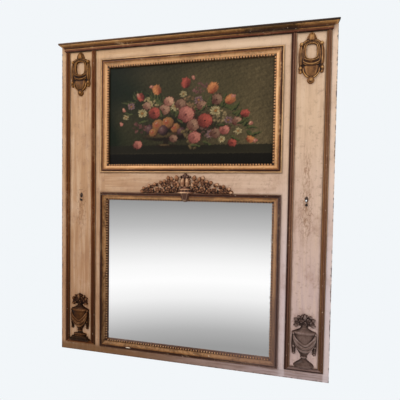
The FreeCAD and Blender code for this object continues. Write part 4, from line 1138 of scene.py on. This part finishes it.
def paint_still_life(x, z):
    """The whole picture at points in millimetres; gives a colour for each."""
    draw = np.random.default_rng(11)
    x, z = x + 2.2 * ripple(x, z, 31, 16), z + 2.2 * ripple(x, z, 32, 16)
    art = Picture(x, z)
    ledge, edge = 97.0, 54.0
    # ground: dark green at the left to worn olive grey at the right
    share = np.clip((x + 430) / 860 + ripple(x, z, 7, 300) * 0.10, 0, 1)[..., None]
    up = np.clip(z / 520 + ripple(x, z, 8, 200) * 0.12, 0, 1)[..., None]
    ground = tone(18, 38, 18) * (1 - share) + tone(112, 96, 72) * share
    ground = ground * (1 - 0.38 * up * (1 - share)) * (1 - 0.25 * up * share)
    brushed = 1 + 0.16 * ripple(x, z, 9, 26)[..., None] + 0.16 * ripple(x, z * 0.4, 10, 10)[..., None]
    brushed += 0.30 * np.clip(ripple(x * 0.6, z, 13, 16) + ripple(x, z, 14, 40), 0, 1)[..., None] * share
    art.rgb[:] = ground * brushed
    halo = np.exp(-(((x - 130) / 230) ** 2 + ((z - 300) / 150) ** 2))
    art.lay(halo * 0.18, tone(104, 100, 72))
    # the ledge and its dark front
    art.lay(np.clip((ledge - z) / 2.5, 0, 1), tone(50, 47, 36) * (0.55 + 0.5 * share))
    art.lay(np.clip((edge - z) / 2.0, 0, 1), tone(22, 20, 17) * (0.6 + 0.5 * share))
    art.lay(np.exp(-((z - edge) / 1.6) ** 2) * 0.35, tone(84, 76, 58))
    cast = np.exp(-(((x + 20) / 260) ** 2 + ((z - 84) / 20) ** 2))
    art.lay(cast * 0.7, tone(20, 19, 14))
    green, dim = tone(88, 96, 56), tone(28, 38, 24)
    # stems and leaves behind everything: two long arcs, one rising left and one falling right
    for number in range(84):
        share = number / 83
        if number % 2:
            at_x, at_z = -40 - 290 * share, 250 + 150 * math.sin(share * 2.0) - 60 * share
        else:
            at_x, at_z = 20 + 330 * share, 260 + 90 * math.sin(share * 2.6) - 170 * share * share
        turn = math.atan2(at_z - 170, at_x) + draw.uniform(-0.8, 0.8)
        art.leaf(at_x * 0.9, at_z * 0.95, draw.uniform(38, 68), draw.uniform(7, 13), turn,
                 green * draw.uniform(0.7, 1.3), dim * draw.uniform(0.8, 1.4), draw.uniform(-0.15, 0.15))
    art.dab(0, 190, 190, 70, 0.0, tone(26, 28, 20), soft=0.7, ragged=0.3, share=0.92)
    # small blossoms in clusters and dim leaves, half lost in the shadow
    for mid_x, mid_z, wide, count, shade_of in ((-196, 306, 44, 30, (196, 172, 128)),
                                                (70, 372, 42, 28, (150, 92, 104)),
                                                (170, 230, 40, 28, (176, 150, 116)),
                                                (-250, 190, 40, 24, (132, 76, 84)),
                                                (10, 300, 46, 30, (160, 120, 92)),
                                                (90, 170, 40, 24, (120, 84, 84))):
        for number in range(count):
            turn, reach = draw.uniform(0, 6.28), draw.uniform(0, 1) ** 0.6 * wide
            art.dab(mid_x + reach * math.cos(turn), mid_z + 0.8 * reach * math.sin(turn), draw.uniform(4, 8),
                    draw.uniform(3, 6), draw.uniform(0, 3), tone(*shade_of) * draw.uniform(0.3, 1.0),
                    soft=0.6, ragged=0.3)
    # low footed dish of fruit, left of the middle
    metal, shade_metal = tone(112, 88, 58), tone(34, 24, 17)
    art.dab(-110, 92, 58, 9, 0, shade_metal)
    art.dab(-110, 108, 14, 22, 0, shade_metal * 1.2)
    art.dab(-110, 142, 122, 26, 0, shade_metal)
    art.dab(-134, 148, 80, 12, 0.05, metal * 0.8, soft=0.7, share=0.7)
    art.dab(-120, 98, 26, 4, 0, metal, soft=0.6, share=0.7)
    peach = tone(206, 142, 78), tone(196, 74, 52), tone(74, 30, 22), 0.94
    plum = tone(96, 58, 76), tone(142, 92, 108), tone(28, 14, 22), 1.0
    for kind, fx, fz, radius in ((plum, -196, 178, 25), (peach, -60, 182, 26), (peach, -150, 196, 33),
                                 (peach, -98, 208, 32), (plum, -28, 164, 22), (plum, -124, 172, 27),
                                 (peach, -178, 160, 22)):
        art.fruit(fx, fz, radius, *kind)
    # a bunch of grapes hanging over the rim on to the ledge
    for number in range(34):
        share = number / 33
        gx = 8 + 34 * math.sin(number * 2.4) * (1 - share * 0.75) + 26 * share
        gz = 176 - 92 * share + 9 * math.cos(number * 1.7)
        art.fruit(gx, gz, 10.5, tone(118, 96, 66), tone(150, 124, 84), tone(36, 26, 22), 1.0)
    # open daisies in cream and mauve
    cream = tone(226, 206, 164), tone(128, 108, 74)
    mauve = tone(176, 130, 150), tone(88, 54, 74)
    for kind, fx, fz, radius in ((cream, -238, 262, 28), (mauve, -300, 300, 23), (cream, -60, 292, 32),
                                 (mauve, 60, 318, 27), (cream, 146, 262, 31), (mauve, 210, 214, 24),
                                 (mauve, 120, 148, 27), (cream, 258, 160, 20), (cream, 178, 122, 19),
                                 (cream, -20, 352, 20), (cream, -330, 244, 17)):
        daisy(art, fx, fz, radius, *kind, tone(150, 96, 34), draw)
    # full round flowers in pink and red, the dim ones first, and tulips in orange
    pink = tone(214, 122, 122), tone(112, 34, 48)
    red = tone(196, 70, 66), tone(84, 20, 28)
    rosy = tone(226, 166, 150), pink[1] * 1.2
    for fx, fz, radius in ((150, 318, 30), (-118, 278, 30), (34, 196, 34), (252, 208, 24), (-34, 300, 30),
                           (146, 152, 28), (-214, 300, 22), (76, 290, 26), (-70, 130, 22)):
        dimmed = draw.uniform(0.45, 0.7)
        full_flower(art, fx, fz, radius, rosy[0] * dimmed, pink[1] * dimmed, draw)
    for kind, fx, fz, radius in ((pink, -6, 250, 45), (red, 92, 216, 40), (red, -172, 262, 34),
                                 (pink, 40, 134, 33), (pink, 190, 168, 27), (rosy, -96, 318, 27),
                                 (pink, -262, 100, 24), (red, 230, 104, 22)):
        full_flower(art, fx, fz, radius, *kind, draw)
    orange = tone(232, 142, 80), tone(140, 50, 30)
    scarlet = red[0] * 1.1, red[1]
    for kind, fx, fz, size, turn in ((scarlet, -10, 380, 56, 1.45), (orange, 112, 350, 62, 0.95),
                                     (orange, -150, 356, 54, 2.0), (scarlet, -232, 330, 46, 2.35),
                                     (orange, 196, 300, 54, 0.6), (scarlet, 268, 240, 46, 0.15),
                                     (orange, 300, 128, 40, -0.5)):
        tulip(art, fx, fz, size, turn, *kind)
    # leaves in front, and small buds along the ends of the arcs
    for fx, fz, length, turn in ((-210, 224, 58, 3.4), (-130, 238, 46, 1.9), (70, 262, 52, 0.9),
                                 (150, 190, 60, 0.1), (20, 92, 56, -0.1), (220, 140, 60, -0.5),
                                 (-60, 236, 44, 1.2), (250, 196, 58, 0.5), (-290, 262, 50, 2.9),
                                 (80, 112, 50, -0.4), (-20, 208, 40, 2.6), (120, 300, 44, 1.4)):
        art.leaf(fx, fz, length, 9, turn, green * draw.uniform(0.8, 1.25), dim, draw.uniform(-0.12, 0.12))
    for fx, fz in ((-356, 210), (-342, 282), (-262, 356), (30, 430), (232, 330), (318, 196), (340, 112),
                   (-190, 396)):
        art.dab(fx, fz, 8, 11, draw.uniform(0, 3), pink[0] * draw.uniform(0.7, 1.0))
        art.dab(fx - 2, fz + 3, 3, 4, 0, rosy[0])
    # age: yellowed varnish, darker towards the edges
    grey = art.rgb.mean(-1, keepdims=True)
    art.rgb = (art.rgb * 0.78 + grey * 0.22) * np.array([0.78, 0.72, 0.52])
    worn = np.clip(0.5 + ripple(x, z, 22, 11) * 0.5 + ripple(x, z, 23, 5) * 0.35, 0, 1)[..., None]
    grey = art.rgb.mean(-1, keepdims=True)
    art.rgb = art.rgb * (1 - 0.32 * worn) + 0.32 * worn * tone(70, 58, 42) * grey ** 0.3
    far = np.maximum(np.abs(x) / SIGHT_HALF_X, np.abs(z - SIGHT_HALF_Z) / SIGHT_HALF_Z)
    art.rgb *= (1 - 0.25 * np.clip((far - 0.8) / 0.2, 0, 1))[..., None]
    art.rgb *= (1 + 0.12 * ripple(x, z, 21, 7))[..., None]
    return np.clip(art.rgb, 0, 1)


linen = Coat("oil_on_linen")
WARP, WEFT = 0.0011, 0.0012
warp = linen.x * (2 * math.pi / WARP)
weft = linen.z * (2 * math.pi / WEFT)
weave = warp.sum("SINE", warp) * weft.sum("SINE", weft)
stroke = linen.noise(3.0, 6, 0.65, 0.8, (60, 20, 90))
crack = linen.cracks(95.0).span(0.03, 0.0)
raw = mix(stroke.span(0.3, 0.7), (128, 108, 82), (164, 144, 112))
oil = mix(stroke.span(0.25, 0.75, 0.0, 0.16), linen.drawn("oil_paint", "Color"), (150, 132, 96), "OVERLAY")
oil = mix(crack * 0.28, oil, (24, 20, 16))
turned_edge = linen.facing() > -0.7
oil_on_linen = linen.shade(mix(turned_edge, oil, raw), stroke.span(0.3, 0.7, 0.42, 0.58),
                           weave * 0.16 + stroke - crack * 0.4, 0.0004, Specular_IOR_Level=0.09)


def make_canvas(material):
    """The cloth: a fine front, the edges turned back over the stretcher."""
    bm = bmesh.new()
    bmesh.ops.create_grid(bm, x_segments=COLUMNS, y_segments=ROWS, size=0.5)
    for vert in bm.verts:
        x, z = vert.co.x * 2 * CLOTH_HALF, CLOTH_LOW + (vert.co.y + 0.5) * (CLOTH_HIGH - CLOTH_LOW)
        sag = 0.0002 * math.sin(9 * x) * math.sin(12 * z)
        vert.co = Vector((x, CLOTH_FRONT + 0.0002 + sag, z))
    rim = [edge for edge in bm.edges if edge.is_boundary]
    made = bmesh.ops.extrude_edge_only(bm, edges=rim)["geom"]
    turned_back = [item for item in made if isinstance(item, bmesh.types.BMVert)]
    for vert in turned_back:
        vert.co.y = CLOTH_BACK
    co = np.array([vert.co for vert in bm.verts])
    still_life = paint_still_life(co[:, 0] * 1000, (co[:, 2] - SIGHT_FOOT) * 1000)
    piece = settle("canvas_front", to_mesh(bm, "canvas_front"), material,
                   ["painting_canvas"])
    layer = piece.data.color_attributes.new("oil_paint", "FLOAT_COLOR", "POINT")
    layer.data.foreach_set("color", np.c_[still_life, np.ones(len(co))].astype(np.float32).ravel())
    thick = piece.modifiers.new("cloth", "SOLIDIFY")
    thick.thickness = 0.0007
    thick.offset = -1


make_canvas(oil_on_linen)
